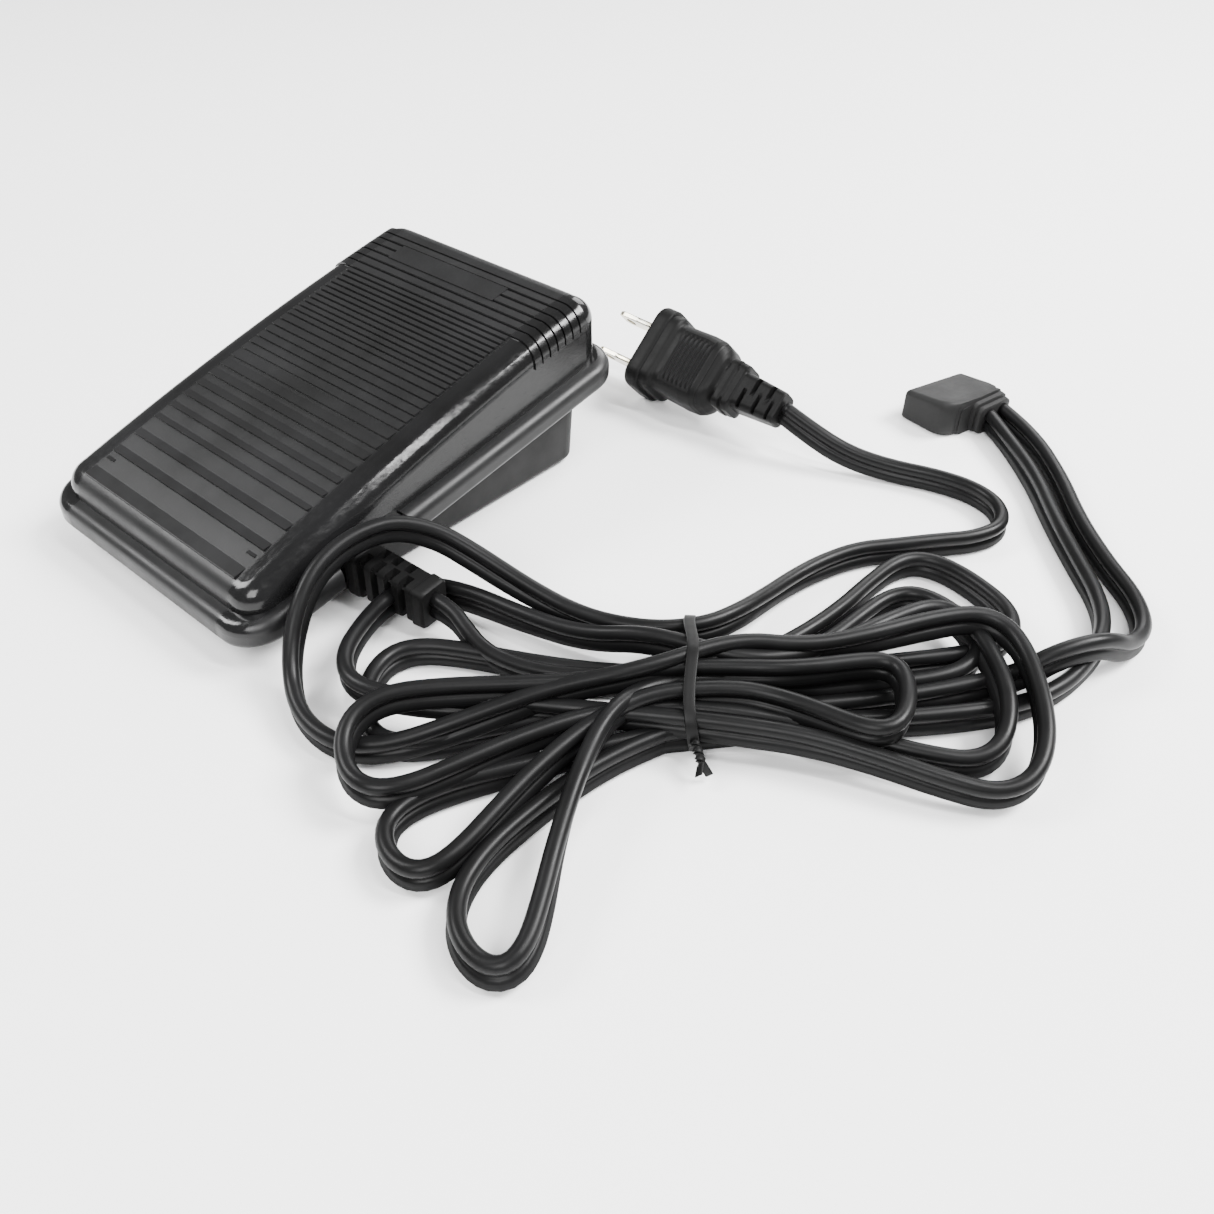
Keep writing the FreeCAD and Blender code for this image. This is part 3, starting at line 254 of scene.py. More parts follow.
CHOKE = plastic("choke_winding", (0.3, 0.1, 0.03), (0.5, 0.2, 0.07), rough=(0.25, 0.4), grain=3000.0,
                depth=0.0001)
EPOXY = plastic("epoxy_case", grey(0.02), grey(0.035), rough=(0.5, 0.65))
RESISTOR = plastic("resistor_body", (0.45, 0.34, 0.2), (0.58, 0.46, 0.3), rough=(0.35, 0.5))
LEAD = plastic("lead_vinyl", grey(0.015), grey(0.03), rough=(0.3, 0.45))
STEEL = metal("steel", (0.42, 0.43, 0.45), (0.6, 0.61, 0.63), brush=(0.08, 1, 1))
SPRING = metal("spring_steel", (0.3, 0.31, 0.33), (0.46, 0.47, 0.5), rough=(0.3, 0.5))
BRASS = metal("brass", (0.5, 0.38, 0.16), (0.68, 0.55, 0.28), rough=(0.2, 0.42), brush=(0.1, 1, 1))
BLADE = metal("blade_metal", (0.34, 0.33, 0.29), (0.66, 0.6, 0.44), rough=(0.18, 0.34), brush=(0.1, 1, 1))
ALUMINIUM = metal("sink_aluminium", (0.6, 0.61, 0.62), (0.76, 0.77, 0.78), rough=(0.3, 0.5),
                  brush=(1, 1, 0.08))
TINNED = metal("tinned_metal", (0.5, 0.5, 0.48), (0.66, 0.66, 0.64), rough=(0.25, 0.45))

SLOT_MATERIALS = {
    "cover_plastic": COVER, "tray_plastic": TRAY, "soft_rubber": RUBBER, "boot_rubber": BOOT,
    "steel": STEEL, "spring_steel": SPRING, "brass": BRASS, "lever_nylon": NYLON,
    "clamp_nylon": CLAMP, "board_laminate": LAMINATE, "capacitor_case": CAPACITOR,
    "choke_winding": CHOKE, "epoxy_case": EPOXY, "resistor_body": RESISTOR,
    "sink_aluminium": ALUMINIUM, "tinned_metal": TINNED, "lead_vinyl": LEAD,
    "cord_vinyl": CORD_VINYL, "plug_vinyl": PLUG, "connector_plastic": CONNECTOR,
    "tie_vinyl": TIE,
}


def dress_frame():
    """Give each CAD node the finished material of its slot."""
    slots = {part["node"]: part["material_slot"] for part in frame["record"]["subparts"]}
    for name, obj in frame["nodes"].items():
        material = SLOT_MATERIALS[slots[name]]
        obj.data.materials.clear()
        obj.data.materials.append(material)


# ---------------------------------------------------------------- the flat cord

# the outline in millimetres and degrees: each lobe turns through GROOVE_TURN and leaves the groove open
CORD_WIDE = 7.1
CORD_THICK = 3.7
LOBE_RIBS = 5
RIB_DEPTH = 0.1
GROOVE_TURN = 304.0
UPPER_START = -62.0
LOWER_START = 118.0
UPPER_STEPS = 15
LOWER_STEPS = 34
# between the rings of the cord's skin, in metres
CORD_STEP = 0.0016


def cord_profile():
    """The twin cord's outline: a smooth upper lobe, a finely ribbed lower one, a groove between them."""
    lobe_r = 0.25 * CORD_WIDE
    half_t = 0.5 * CORD_THICK
    outline = []
    for k in range(UPPER_STEPS + 1):
        angle = math.radians(UPPER_START + GROOVE_TURN * k / UPPER_STEPS)
        outline.append((half_t * math.cos(angle), lobe_r + lobe_r * math.sin(angle)))
    for k in range(LOWER_STEPS + 1):
        angle = math.radians(LOWER_START + GROOVE_TURN * k / LOWER_STEPS)
        wave = math.cos(2 * math.pi * LOBE_RIBS * (math.degrees(angle) % 180) / 90.0)
        rib = RIB_DEPTH * wave * min(1.0, 2.2 * abs(math.cos(angle)))
        outline.append(((half_t - 0.06 + rib) * math.cos(angle), -lobe_r + lobe_r * math.sin(angle)))
    return outline


PROFILE = cord_profile()


def cord_frames(points, lean):
    """The cord's broad way and its narrow way at each point of a line."""
    ahead = np.gradient(points, axis=0)
    ahead /= np.linalg.norm(ahead, axis=1)[:, None]
    up = np.array([0.0, 0.0, 1.0])
    broad = up - (ahead @ up)[:, None] * ahead
    broad /= np.linalg.norm(broad, axis=1)[:, None]
    narrow = np.cross(ahead, broad)
    turn = np.radians(lean)[:, None]
    return broad * np.cos(turn) + narrow * np.sin(turn), narrow * np.cos(turn) - broad * np.sin(turn)


def lean_along(points, seed, most=16.0):
    """A slow wander of the cord's roll about its own line, in degrees, level at both ends."""
    rng = random.Random(seed)
    run = along(points)
    total = run[-1]
    waves = [(rng.uniform(0.05, 0.11), rng.uniform(0, 2 * math.pi), rng.uniform(0.5, 1.0)) for _ in range(3)]
    roll = sum(a * np.sin(2 * math.pi * run / length + phase) for length, phase, a in waves) / 2.0
    ends = np.clip(np.minimum(run, total - run) / 0.02, 0.0, 1.0)
    return most * roll * ends


def flat_cord(name, control, seed):
    """A flat twin cord along a route, with its two lobes, groove and fine ribs modelled."""
    points = resampled(spline_points(name + "_route", control), CORD_STEP)
    broad, narrow = cord_frames(points, lean_along(points, seed))
    verts = []
    for k, point in enumerate(points):
        for a, b in PROFILE:
            verts.append(point + narrow[k] * a * MM + broad[k] * b * MM)
    obj = mesh_piece(name, verts, skin_faces(len(points), len(PROFILE)), "base")
    obj.data.materials.append(CORD_VINYL)
    return obj, points


# ---------------------------------------------------------------- modelled end fittings, in millimetres


LONG_SIDE = 1.5


def rounded_outline(wide, high, corner, per_corner=7, per_side=5):
    """A rounded rectangle's points in order, as pairs across and up; its long sides are split."""
    half_w, half_h = 0.5 * wide, 0.5 * high
    corner = min(corner, half_w, half_h)
    outline = []
    for sign_a, sign_b, start in ((1, -1, -90), (1, 1, 0), (-1, 1, 90), (-1, -1, 180)):
        hub = (sign_a * (half_w - corner), sign_b * (half_h - corner))
        for k in range(per_corner + 1):
            angle = math.radians(start + 90 * k / per_corner)
            outline.append((hub[0] + corner * math.cos(angle), hub[1] + corner * math.sin(angle)))
    dense = []
    for start, end in zip(outline, outline[1:] + outline[:1]):
        gap = math.dist(start, end)
        steps = per_side if gap > LONG_SIDE else 1
        for k in range(steps):
            dense.append(tuple(a + (b - a) * k / steps for a, b in zip(start, end)))
    return dense


def loft(name, rings, turn, spot, body, slot, crisp=34.0):
    """A closed skin through rings of equal count, each ring a list of points in millimetres."""
    verts = [(turn @ Vector(p) + spot) * MM for ring in rings for p in ring]
    obj = mesh_piece(name, verts, skin_faces(len(rings), len(rings[0])), body)
    outward(obj)
    obj.data.set_sharp_from_angle(angle=math.radians(crisp))
    obj.data.materials.append(SLOT_MATERIALS[slot])
    return obj


def outward(obj):
    """Turn every face of a closed mesh outward."""
    shape = bmesh.new()
    shape.from_mesh(obj.data)
    bmesh.ops.recalc_face_normals(shape, faces=shape.faces)
    shape.to_mesh(obj.data)
    shape.free()


def stations(*spans):
    """Places along a fitting, from the first span's end on; each later span is its end and its step."""
    places = [spans[0][0]]
    for end, step in spans[1:]:
        start = places[-1]
        count = max(1, int(round((end - start) / step)))
        places += [start + (end - start) * k / count for k in range(1, count + 1)]
    return places


def profile_at(table, x):
    """Width, height and corner radius at a place, from a table of stations."""
    xs = [row[0] for row in table]
    return [float(np.interp(x, xs, [row[k] for row in table])) for k in (1, 2, 3)]


def within(value, low, high, soft=0.25):
    """1 inside a range, 0 outside it, with soft shoulders."""
    return min(1.0, max(0.0, (value - low) / soft)) * min(1.0, max(0.0, (high - value) / soft))


PLUG_TURN = Matrix.Rotation(math.radians(-3.4), 3, "Z") @ Matrix.Rotation(math.radians(43.7), 3, "X")
PLUG_SPOT = Vector((26.0, 99.0, 13.6))

# distance behind the face, width across the blades, thickness, corner radius
PLUG_TABLE = [
    (0.0, 24.8, 16.4, 4.2), (0.5, 26.0, 17.6, 4.8), (1.0, 26.4, 18.0, 5.0), (4.9, 26.4, 18.0, 5.0),
    (5.3, 26.0, 17.6, 4.8), (5.5, 24.4, 17.0, 4.4), (8.2, 24.0, 16.8, 4.4), (8.7, 23.4, 16.4, 4.2),
    (9.3, 21.6, 15.4, 4.2), (10.0, 21.4, 15.2, 4.4), (20.0, 22.2, 15.4, 4.6), (24.0, 21.8, 15.2, 4.8),
    (25.4, 20.8, 14.8, 5.0), (25.7, 20.0, 14.2, 5.0), (26.0, 20.4, 14.6, 5.0), (27.2, 18.8, 13.8, 5.0),
    (28.2, 16.2, 12.8, 4.8), (28.9, 13.2, 11.4, 4.4), (29.3, 12.0, 10.4, 4.0), (29.7, 12.0, 10.2, 3.4),
    (30.0, 15.4, 10.4, 2.4), (32.2, 15.6, 10.4, 2.4), (32.5, 13.0, 10.0, 2.4), (33.1, 13.0, 10.0, 2.4),
    (33.4, 15.2, 10.2, 2.4), (35.2, 14.8, 10.0, 2.4), (35.6, 11.4, 9.2, 2.2), (37.0, 11.2, 9.0, 2.2),
    (49.5, 9.8, 7.0, 1.8), (50.0, 9.2, 6.5, 1.6)]
PLUG_PANEL = (11.2, 23.8)
PLUG_PANEL_HALF = 8.2
PLUG_PANEL_DEPTH = 0.62
PLUG_RIDGES = 7
PLUG_RIDGE_HALF = 7.4
RIDGE_START = 11.5
RIDGE_SPAN = 12.0
# start, end and side of each slot in the strain relief
RELIEF_SLOTS = ((37.6, 38.9, 0), (40.1, 41.5, 1), (42.7, 44.0, 0), (45.2, 46.6, 1), (47.3, 48.3, 0))
RELIEF_DEPTH = 2.1
# further out than any fitting reaches, for ranges with no upper end
FAR = 99.0


def plug_ring(x):
    """The plug's outline at a distance behind its face, with the ridged panel and the slots sunk into it."""
    wide, high, corner = profile_at(PLUG_TABLE, x)
    ring = []
    for a, b in rounded_outline(wide, high, corner):
        face = 1.0 if b > 0 else -1.0
        flat = within(abs(b), 0.5 * high - 0.9, FAR, 0.7)
        panel = within(x, *PLUG_PANEL, 0.35) * within(a, -PLUG_PANEL_HALF, PLUG_PANEL_HALF, 0.6) * flat
        ridge = 0.5 + 0.5 * math.cos(2 * math.pi * (x - RIDGE_START) * PLUG_RIDGES / RIDGE_SPAN)
        raised = ridge * within(a, -PLUG_RIDGE_HALF, PLUG_RIDGE_HALF, 0.5)
        sunk = panel * (PLUG_PANEL_DEPTH - PLUG_PANEL_DEPTH * raised)
        for low, end, side in RELIEF_SLOTS:
            across = a if side else -a
            sunk += RELIEF_DEPTH * within(x, low, end, 0.2) * within(across, 0.5, 9.0, 0.3) * flat
        ring.append((x, a, b - face * sunk))
    return ring


def wall_plug():
    """The moulded plug: stepped flange, ridged grip, rounded back, winged collar and slotted relief."""
    places = stations((0.0, 1), (1.0, 0.25), (4.9, 1.3), (5.5, 0.2), (8.2, 0.9), (10.0, 0.3), (11.0, 0.5),
                      (24.2, 0.16), (25.2, 0.5), (30.0, 0.2), (32.2, 0.7), (33.5, 0.15), (35.2, 0.6),
                      (37.2, 0.3), (48.6, 0.12), (50.0, 0.25))
    plug = loft("wall_plug", [plug_ring(x) for x in places], PLUG_TURN, PLUG_SPOT, "base", "plug_vinyl", 40.0)
    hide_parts("plug_body")
    return plug


BLADE_HALF_GAP = 6.35
BLADE_LONG = 17.0
BLADE_WIDE = 6.35
BLADE_THICK = 1.5
BLADE_EDGE = 0.22
HOLE_AT = -13.4
HOLE_RADIUS = 1.7
HOLE_STEPS = 40
NOSE_REACH = 3.6
NOSE_ROUND = 1.6


def blade_rim():
    """The blade's outline, point for point with its round hole, with a rounded nose."""
    rim = []
    for k in range(HOLE_STEPS):
        angle = 2 * math.pi * k / HOLE_STEPS
        ray = (math.cos(angle), math.sin(angle))
        reach = min((0.5 * BLADE_WIDE) / max(abs(ray[1]), 1e-6),
                    (NOSE_REACH if ray[0] < 0 else -HOLE_AT) / max(abs(ray[0]), 1e-6))
        x, z = HOLE_AT + ray[0] * reach, ray[1] * reach
        nip = max(0.0, (-BLADE_LONG + NOSE_ROUND) - x)
        z = math.copysign(min(abs(z), 0.5 * BLADE_WIDE - 0.45 * nip ** 1.4), z) if abs(z) > 0.01 else z
        rim.append((x, z))
    return rim


def blade_layers(rim):
    """The outline at four depths, drawn in a little at both faces."""
    half = 0.5 * BLADE_THICK
    inner = half - BLADE_EDGE
    layers = []
    for y, shrink in ((-half, BLADE_EDGE), (-inner, 0.0), (inner, 0.0), (half, BLADE_EDGE)):
        row = []
        for x, z in rim:
            pull = 1.0 - shrink / max(math.dist((x, z), (HOLE_AT, 0.0)), 0.5)
            row.append((HOLE_AT + (x - HOLE_AT) * pull, y, z * pull))
        layers.append(row)
    return layers


def plug_blade(name, side, node):
    """A metal blade with a rounded nose, softened edges and a round hole near its nose."""
    shape = bmesh.new()

    def placed(x, y, z):
        return shape.verts.new((PLUG_TURN @ Vector((x, y + side * BLADE_HALF_GAP, z)) + PLUG_SPOT) * MM)

    count = HOLE_STEPS
    turns = [2 * math.pi * k / count for k in range(count)]
    hole = [(HOLE_AT + HOLE_RADIUS * math.cos(t), HOLE_RADIUS * math.sin(t)) for t in turns]
    verts = [placed(*point) for row in blade_layers(blade_rim()) for point in row]
    ends = [[placed(x, y, z) for x, z in hole] for y in (-0.5 * BLADE_THICK, 0.5 * BLADE_THICK)]
    for k in range(count):
        i = (k + 1) % count
        for row in range(3):
            shape.faces.new((verts[row * count + k], verts[row * count + i], verts[(row + 1) * count + i],
                             verts[(row + 1) * count + k]))
        shape.faces.new((verts[k], ends[0][k], ends[0][i], verts[i]))
        shape.faces.new((verts[3 * count + k], verts[3 * count + i], ends[1][i], ends[1][k]))
        shape.faces.new((ends[0][k], ends[1][k], ends[1][i], ends[0][i]))
    bmesh.ops.recalc_face_normals(shape, faces=shape.faces)
    mesh = bpy.data.meshes.new(name)
    shape.to_mesh(mesh)
    shape.free()
    obj = bpy.data.objects.new(name, mesh)
    bpy.context.scene.collection.objects.link(obj)
    mesh.polygons.foreach_set("use_smooth", [True] * len(mesh.polygons))
    mesh.set_sharp_from_angle(angle=math.radians(30))
    mesh.materials.append(BLADE)
    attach(obj, "base")
    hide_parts(node)
    return obj


CONNECTOR_AT = Vector((102.5, 145.6, 0.0))
CONNECTOR_TURN = Matrix.Rotation(math.radians(-12.0), 3, "Z")

BLOCK_MIDDLE = 3.05
SOCKET_ROWS = (-3.95, 3.05, 10.05)
SOCKET_Z = 4.6
# distance along the connector, width, share of the full height, corner radius
HOUSING_TABLE = [
    (-7.8, 25.1, 0.92, 1.3), (-7.4, 26.1, 0.97, 1.5), (-6.9, 26.5, 1.0, 1.6), (3.6, 26.5, 1.0, 1.7),
    (5.8, 26.1, 1.0, 2.2), (7.2, 25.0, 0.98, 2.8), (8.2, 22.8, 0.95, 3.2), (8.7, 20.6, 0.9, 3.2)]
# distance along, low side, high side, top, corner radius
COLLAR_TABLE = [
    (8.0, -5.4, 14.4, 9.8, 1.6), (8.9, -5.4, 14.4, 9.8, 1.6), (9.05, -4.6, 13.8, 8.8, 1.5),
    (9.5, -4.6, 13.8, 8.8, 1.5), (9.65, -0.2, 14.2, 9.6, 1.8), (10.9, -0.1, 14.1, 9.4, 1.8),
    (11.1, 0.6, 13.6, 8.4, 1.7), (11.6, 0.6, 13.6, 8.3, 1.7), (11.8, 0.2, 14.0, 8.8, 2.0),
    (12.8, 0.3, 13.9, 8.6, 2.0), (13.0, 0.7, 13.5, 8.2, 2.0)]


SOCKET_FACE = -7.8
TOP_CORNER = 9.6
TOP_RISE = 0.14
TOP_FALL = 0.089
FAR_SIDE = -10.2
BLOCK_HIGH = 10.0


def block_top(x, y):
    """The connector's sloping top: higher towards the cords and on the near side."""
    return TOP_CORNER + TOP_RISE * (x - SOCKET_FACE) - TOP_FALL * (y - FAR_SIDE)


def machine_connector():
    """The connector's wedge-shaped block with softened edges and a grooved collar for the two cords."""
    rings = []
    for x in stations((SOCKET_FACE, 1), (-6.9, 0.15), (3.6, 2.0), (8.7, 0.3)):
        wide, share, corner = profile_at(HOUSING_TABLE, x)
        ring = []
        for a, b in rounded_outline(wide, BLOCK_HIGH, corner):
            y = a + BLOCK_MIDDLE
            rise = 0.5 + b / BLOCK_HIGH
            ring.append((x, y, block_top(x, y) * (rise * share + (1 - share) * 0.3)))
        rings.append(ring)
    housing = loft("connector_block", rings, CONNECTOR_TURN, CONNECTOR_AT, "base", "connector_plastic")
    rings = []
    for x in stations((8.0, 1), (9.0, 0.25), (11.9, 0.1), (13.0, 0.2)):
        xs = [row[0] for row in COLLAR_TABLE]
        low, end, top, corner = [float(np.interp(x, xs, column)) for column in list(zip(*COLLAR_TABLE))[1:]]
        rings.append([(x, a + 0.5 * (low + end), b + 0.5 * top + 0.1)
                      for a, b in rounded_outline(end - low, top - 0.1, corner)])
    collar = loft("connector_collar", rings, CONNECTOR_TURN, CONNECTOR_AT, "base", "connector_plastic")
    rims = [socket_ring("socket_rim_%d" % number, y) for number, y in enumerate(SOCKET_ROWS, start=1)]
    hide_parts("connector_housing")
    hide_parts("connector_housing")
    return [housing, collar] + rims


# radius and place along the connector, from inside the socket to its rim's outer edge
SOCKET_PROFILE = ((1.25, 0.3), (1.25, -0.12), (1.5, -0.16), (1.95, -0.14), (2.2, -0.05), (2.2, 0.3))
SOCKET_STEPS = 32


def socket_ring(name, y):
    """The raised rim and dark well of one socket on the connector's face."""
    angles = [2 * math.pi * k / SOCKET_STEPS for k in range(SOCKET_STEPS)]
    rings = []
    for r, out in SOCKET_PROFILE:
        rings.append([(SOCKET_FACE + out, y + r * math.cos(t), SOCKET_Z + r * math.sin(t)) for t in angles])
    return loft(name, rings, CONNECTOR_TURN, CONNECTOR_AT, "base", "connector_plastic")


BOOT_ROOT = Vector((36.7, -26.2, 8.6))
BOOT_AXIS = Vector((23.8, 2.5, -0.6))
# distance from the case, width, height, corner radius
BOOT_TABLE = [
    (-1.0, 8.4, 11.2, 1.6), (0.0, 9.4, 12.4, 1.6), (2.6, 9.4, 12.4, 1.6), (3.0, 8.9, 11.9, 1.5),
    (20.2, 8.2, 10.4, 1.4), (20.5, 9.0, 11.0, 1.4), (23.4, 8.8, 10.6, 1.4), (23.9, 8.0, 9.8, 1.2)]
FRONT_SLOTS = (3.7, 7.9, 12.1, 16.3)
REAR_SLOTS = (5.8, 10.0, 14.2)
SLOT_LONG = 2.1
SLOT_DEPTH = 2.2
SLOT_EDGE = 0.22


def boot_ring(x):
    """The boot's outline at a distance from the case, with its front and rear slots sunk into it."""
    wide, high, corner = profile_at(BOOT_TABLE, x)
    cut = sum(within(x, low, low + SLOT_LONG, SLOT_EDGE) for low in FRONT_SLOTS)
    rear = sum(within(x, low, low + SLOT_LONG, SLOT_EDGE) for low in REAR_SLOTS)
    ring = []
    for a, b in rounded_outline(wide, high, corner, per_side=9):
        top = within(abs(b), 0.5 * high - 1.2, FAR, 0.5)
        side = within(-a, 0.5 * wide - 1.0, FAR, 0.5)
        front = max(top * within(a, -9.0, -0.5, 0.3), side * within(abs(b), -1.0, 9.0, 0.3))
        down = cut * front * SLOT_DEPTH
        behind = rear * top * within(a, 0.7, 0.5 * wide - 1.0, 0.3) * SLOT_DEPTH
        pull = (down * top + behind) * (1 if b > 0 else -1)
        ring.append((x, a + down * side, b - pull))
    return ring


def cord_boot():
    """The slotted rubber boot where the cord leaves the case."""
    ahead = BOOT_AXIS.normalized()
    across = Vector((-ahead.y, ahead.x, 0.0)).normalized()
    turn = Matrix((ahead, across, ahead.cross(across))).transposed()
    places = stations((-1.0, 1), (0.0, 0.25), (2.6, 0.8), (19.0, 0.13), (20.6, 0.2), (23.4, 0.7),
                      (23.9, 0.25))
    boot = loft("cord_boot", [boot_ring(x) for x in places], turn, BOOT_ROOT, "base", "boot_rubber", 38.0)
    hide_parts("strain_relief_boot")
    return boot


# ---------------------------------------------------------------- the wire tie, in millimetres

TIE_BAND = 2.6
TIE_THICK = 0.55
TAIL_BAND = 2.0
WAIST_HALF = 26.0
STRAND_HALF_WIDE = 2.6
STRAND_HALF_HIGH = 3.65
STRAND_STEPS = 16
TIE_STEP = 1.0
TIE_SMOOTHINGS = 6
TAIL_STEPS = 40
TAIL_LONG = 7.5
TAIL_TURNS = 1.6
TWIST_END = 0.72
TWIST_RADIUS = 0.42
TAIL_SPLAY = 1.4


def tie_crossings(lines):
    """Where the strands cross the tie's plane, as pairs across and up."""
    spots = []
    for line in lines:
        offs = np.array([(Vector(p) / MM - TIE_AT).dot(TIE_AXIS) for p in line])
        for k in np.nonzero(np.diff(np.sign(offs)) != 0)[0]:
            spot = Vector(line[k]) / MM - TIE_AT
            if abs(spot.dot(TIE_ACROSS)) < WAIST_HALF:
                spots.append((spot.dot(TIE_ACROSS), spot.z))
    return spots


def hull(points):
    """The convex outline of a set of pairs, in order."""
    ordered = sorted(set(points))
    chains = []
    for run in (ordered, ordered[::-1]):
        chain = []
        for p in run:
            while len(chain) > 1 and ((chain[-1][0] - chain[-2][0]) * (p[1] - chain[-2][1])
                                      - (chain[-1][1] - chain[-2][1]) * (p[0] - chain[-2][0])) <= 0:
                chain.pop()
            chain.append(p)
        chains += chain[:-1]
    return chains


def ribbon(name, centres, across, out, width, thick, closed):
    """A flat band along a line; across and out are its width and thickness ways at each point."""
    rings = []
    for spot, side, away in zip(centres, across, out):
        ring = []
        for a, b in rounded_outline(width, thick, 0.26, per_corner=4, per_side=3):
            ring.append(spot + side * a + away * b)
        rings.append(ring)
    verts = [p * MM for ring in rings for p in ring]
    obj = mesh_piece(name, verts, skin_faces(len(rings), len(rings[0]), closed), "base")
    outward(obj)
    obj.data.materials.append(TIE)
    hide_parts("cord_tie")
    return obj


def waist_outline(lines):
    """The line of the tie drawn tight round the strands, smoothed, as pairs across and up."""
    disc = []
    for a, z in tie_crossings(lines):
        for k in range(STRAND_STEPS):
            angle = 2 * math.pi * k / STRAND_STEPS
            rise = max(z + STRAND_HALF_HIGH * math.sin(angle), 0.45)
            disc.append((a + STRAND_HALF_WIDE * math.cos(angle), rise))
    loop = hull(disc)
    loop = np.array(loop + loop[:1])
    even = resampled(np.column_stack([loop, np.zeros(len(loop))]), TIE_STEP)[:-1, :2]
    for _ in range(TIE_SMOOTHINGS):
        even = 0.5 * even + 0.25 * (np.roll(even, 1, axis=0) + np.roll(even, -1, axis=0))
    return even


def tie_tail(name, front, phase):
    """One end of the tie, twisted with the other and splayed at its tip."""
    line, sides, ways = [], [], []
    for k in range(TAIL_STEPS):
        u = k / (TAIL_STEPS - 1)
        spin = phase + 2 * math.pi * TAIL_TURNS * min(u / TWIST_END, 1.0)
        bend = Vector((0.0, 0.0, -0.5 * u))
        ahead = (-TIE_ACROSS * 0.9 + TIE_AXIS * 0.35 + bend).normalized()
        flat = ahead.cross(Vector((0, 0, 1))).normalized()
        up = flat.cross(ahead)
        splay = TAIL_SPLAY * (u - TWIST_END) / (1 - TWIST_END) if u > TWIST_END else 0.0
        away = flat * math.cos(spin) + up * math.sin(spin)
        spot = front + ahead * (TAIL_LONG * u) + away * (TWIST_RADIUS + splay)
        line.append(Vector((spot.x, spot.y, max(spot.z, 0.6))))
        sides.append(flat * -math.sin(spin) + up * math.cos(spin))
        ways.append(away)
    return ribbon(name, line, sides, ways, TAIL_BAND, TIE_THICK, False)


def wire_tie(lines):
    """A vinyl tie drawn round the strands at the bundle's waist, its two ends twisted at the front."""
    even = waist_outline(lines)
    middle = even.mean(axis=0)
    centres, across, out = [], [], []
    for k, (a, z) in enumerate(even):
        before, after = even[k - 1], even[(k + 1) % len(even)]
        ahead = np.array(after) - np.array(before)
        away = np.array([ahead[1], -ahead[0]])
        away /= np.linalg.norm(away)
        if away @ (np.array([a, z]) - middle) < 0:
            away = -away
        lift = Vector((0, 0, max(z + 0.45 * away[1], 0.4)))
        spot = TIE_AT + TIE_ACROSS * (a + 0.45 * away[0]) + lift
        turn = 2 * math.pi * k / len(even)
        centres.append(spot + TIE_AXIS * (0.9 * math.sin(turn) + 0.5 * math.sin(3 * turn)))
        across.append(TIE_AXIS)
        out.append(TIE_ACROSS * away[0] + Vector((0, 0, away[1])))
    band = ribbon("wire_tie", centres, across, out, TIE_BAND, TIE_THICK, True)
    front = min(centres, key=lambda p: (p - TIE_AT).dot(TIE_ACROSS) + 0.15 * p.z)
    return [band, tie_tail("wire_tie_tail_1", front, 0.0), tie_tail("wire_tie_tail_2", front, math.pi)]


# ---------------------------------------------------------------- the return springs

SPRING_NODES = ("return_spring_left", "return_spring_right")
SPRING_WIRE = 0.6 * MM
SPRING_TURNS = 7.0
END_TURN = 1.0
END_PITCH = 2.1
WIRE_STEPS = 30
WIRE_SIDES = 10


def return_spring(node):
    """A round-wire spring with a closed turn at each end."""
    lowest, highest = (np.array(corner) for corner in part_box(node))
    middle = 0.5 * (lowest + highest)
    radius = 0.5 * (highest[0] - lowest[0]) - SPRING_WIRE
    low, high = lowest[2] + SPRING_WIRE, highest[2] - SPRING_WIRE
    turns = SPRING_TURNS + 2 * END_TURN
    marks = (0.0, END_TURN, turns - END_TURN, turns)
    heights = (low, low + END_PITCH * SPRING_WIRE, high - END_PITCH * SPRING_WIRE, high)
    count = int(turns * WIRE_STEPS)
    verts = []
    for k in range(count + 1):
        turn = turns * k / count
        angle = 2 * math.pi * turn
        z = float(np.interp(turn, marks, heights))
        for j in range(WIRE_SIDES):
            around = 2 * math.pi * j / WIRE_SIDES
            reach = radius + SPRING_WIRE * math.cos(around)
            verts.append((middle[0] + reach * math.cos(angle), middle[1] + reach * math.sin(angle),
                          z + SPRING_WIRE * math.sin(around)))
    obj = mesh_piece(node + "_coil", verts, skin_faces(count + 1, WIRE_SIDES), "base")
    obj.data.materials.append(SPRING)
    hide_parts(node)
    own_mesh(obj)


# ---------------------------------------------------------------- the cords' routes, in millimetres

CORD_Z = 3.65
TIE_AT = Vector((122.0, -5.0, 0.0))
TIE_AXIS = Vector((0.79, 0.61, 0.0))
TIE_ACROSS = Vector((-0.61, 0.79, 0.0))
TIE_HALF = 9.0
LOBE_POINTS = 13
LEAD_SHARE = 0.25
LOBE_STATIONS = (0.0, 0.3, 0.5, 0.7, 1.0)
LOBE_SHARP = 1.24
SWING_PEAK = 0.77

# from the plug to the bundle
POWER_RUN = [(76, 96, 13.4), (87, 96.5, 9.5), (97, 99.5, 5.5), (108, 104, CORD_Z), (120, 108.5, CORD_Z),
             (131, 110, CORD_Z), (140, 106.5, CORD_Z), (144.5, 98.5, CORD_Z), (141.5, 89.5, CORD_Z),
             (134.5, 81.5, CORD_Z), (128.2, 73, CORD_Z), (121.5, 64.5, CORD_Z), (117.5, 54, CORD_Z),
             (115.6, 43, 4.2), (115.4, 32, 5.4), (115.6, 21, 7.4), (113.6, 11, 8.4), (106.5, 2.5, 8.5)]

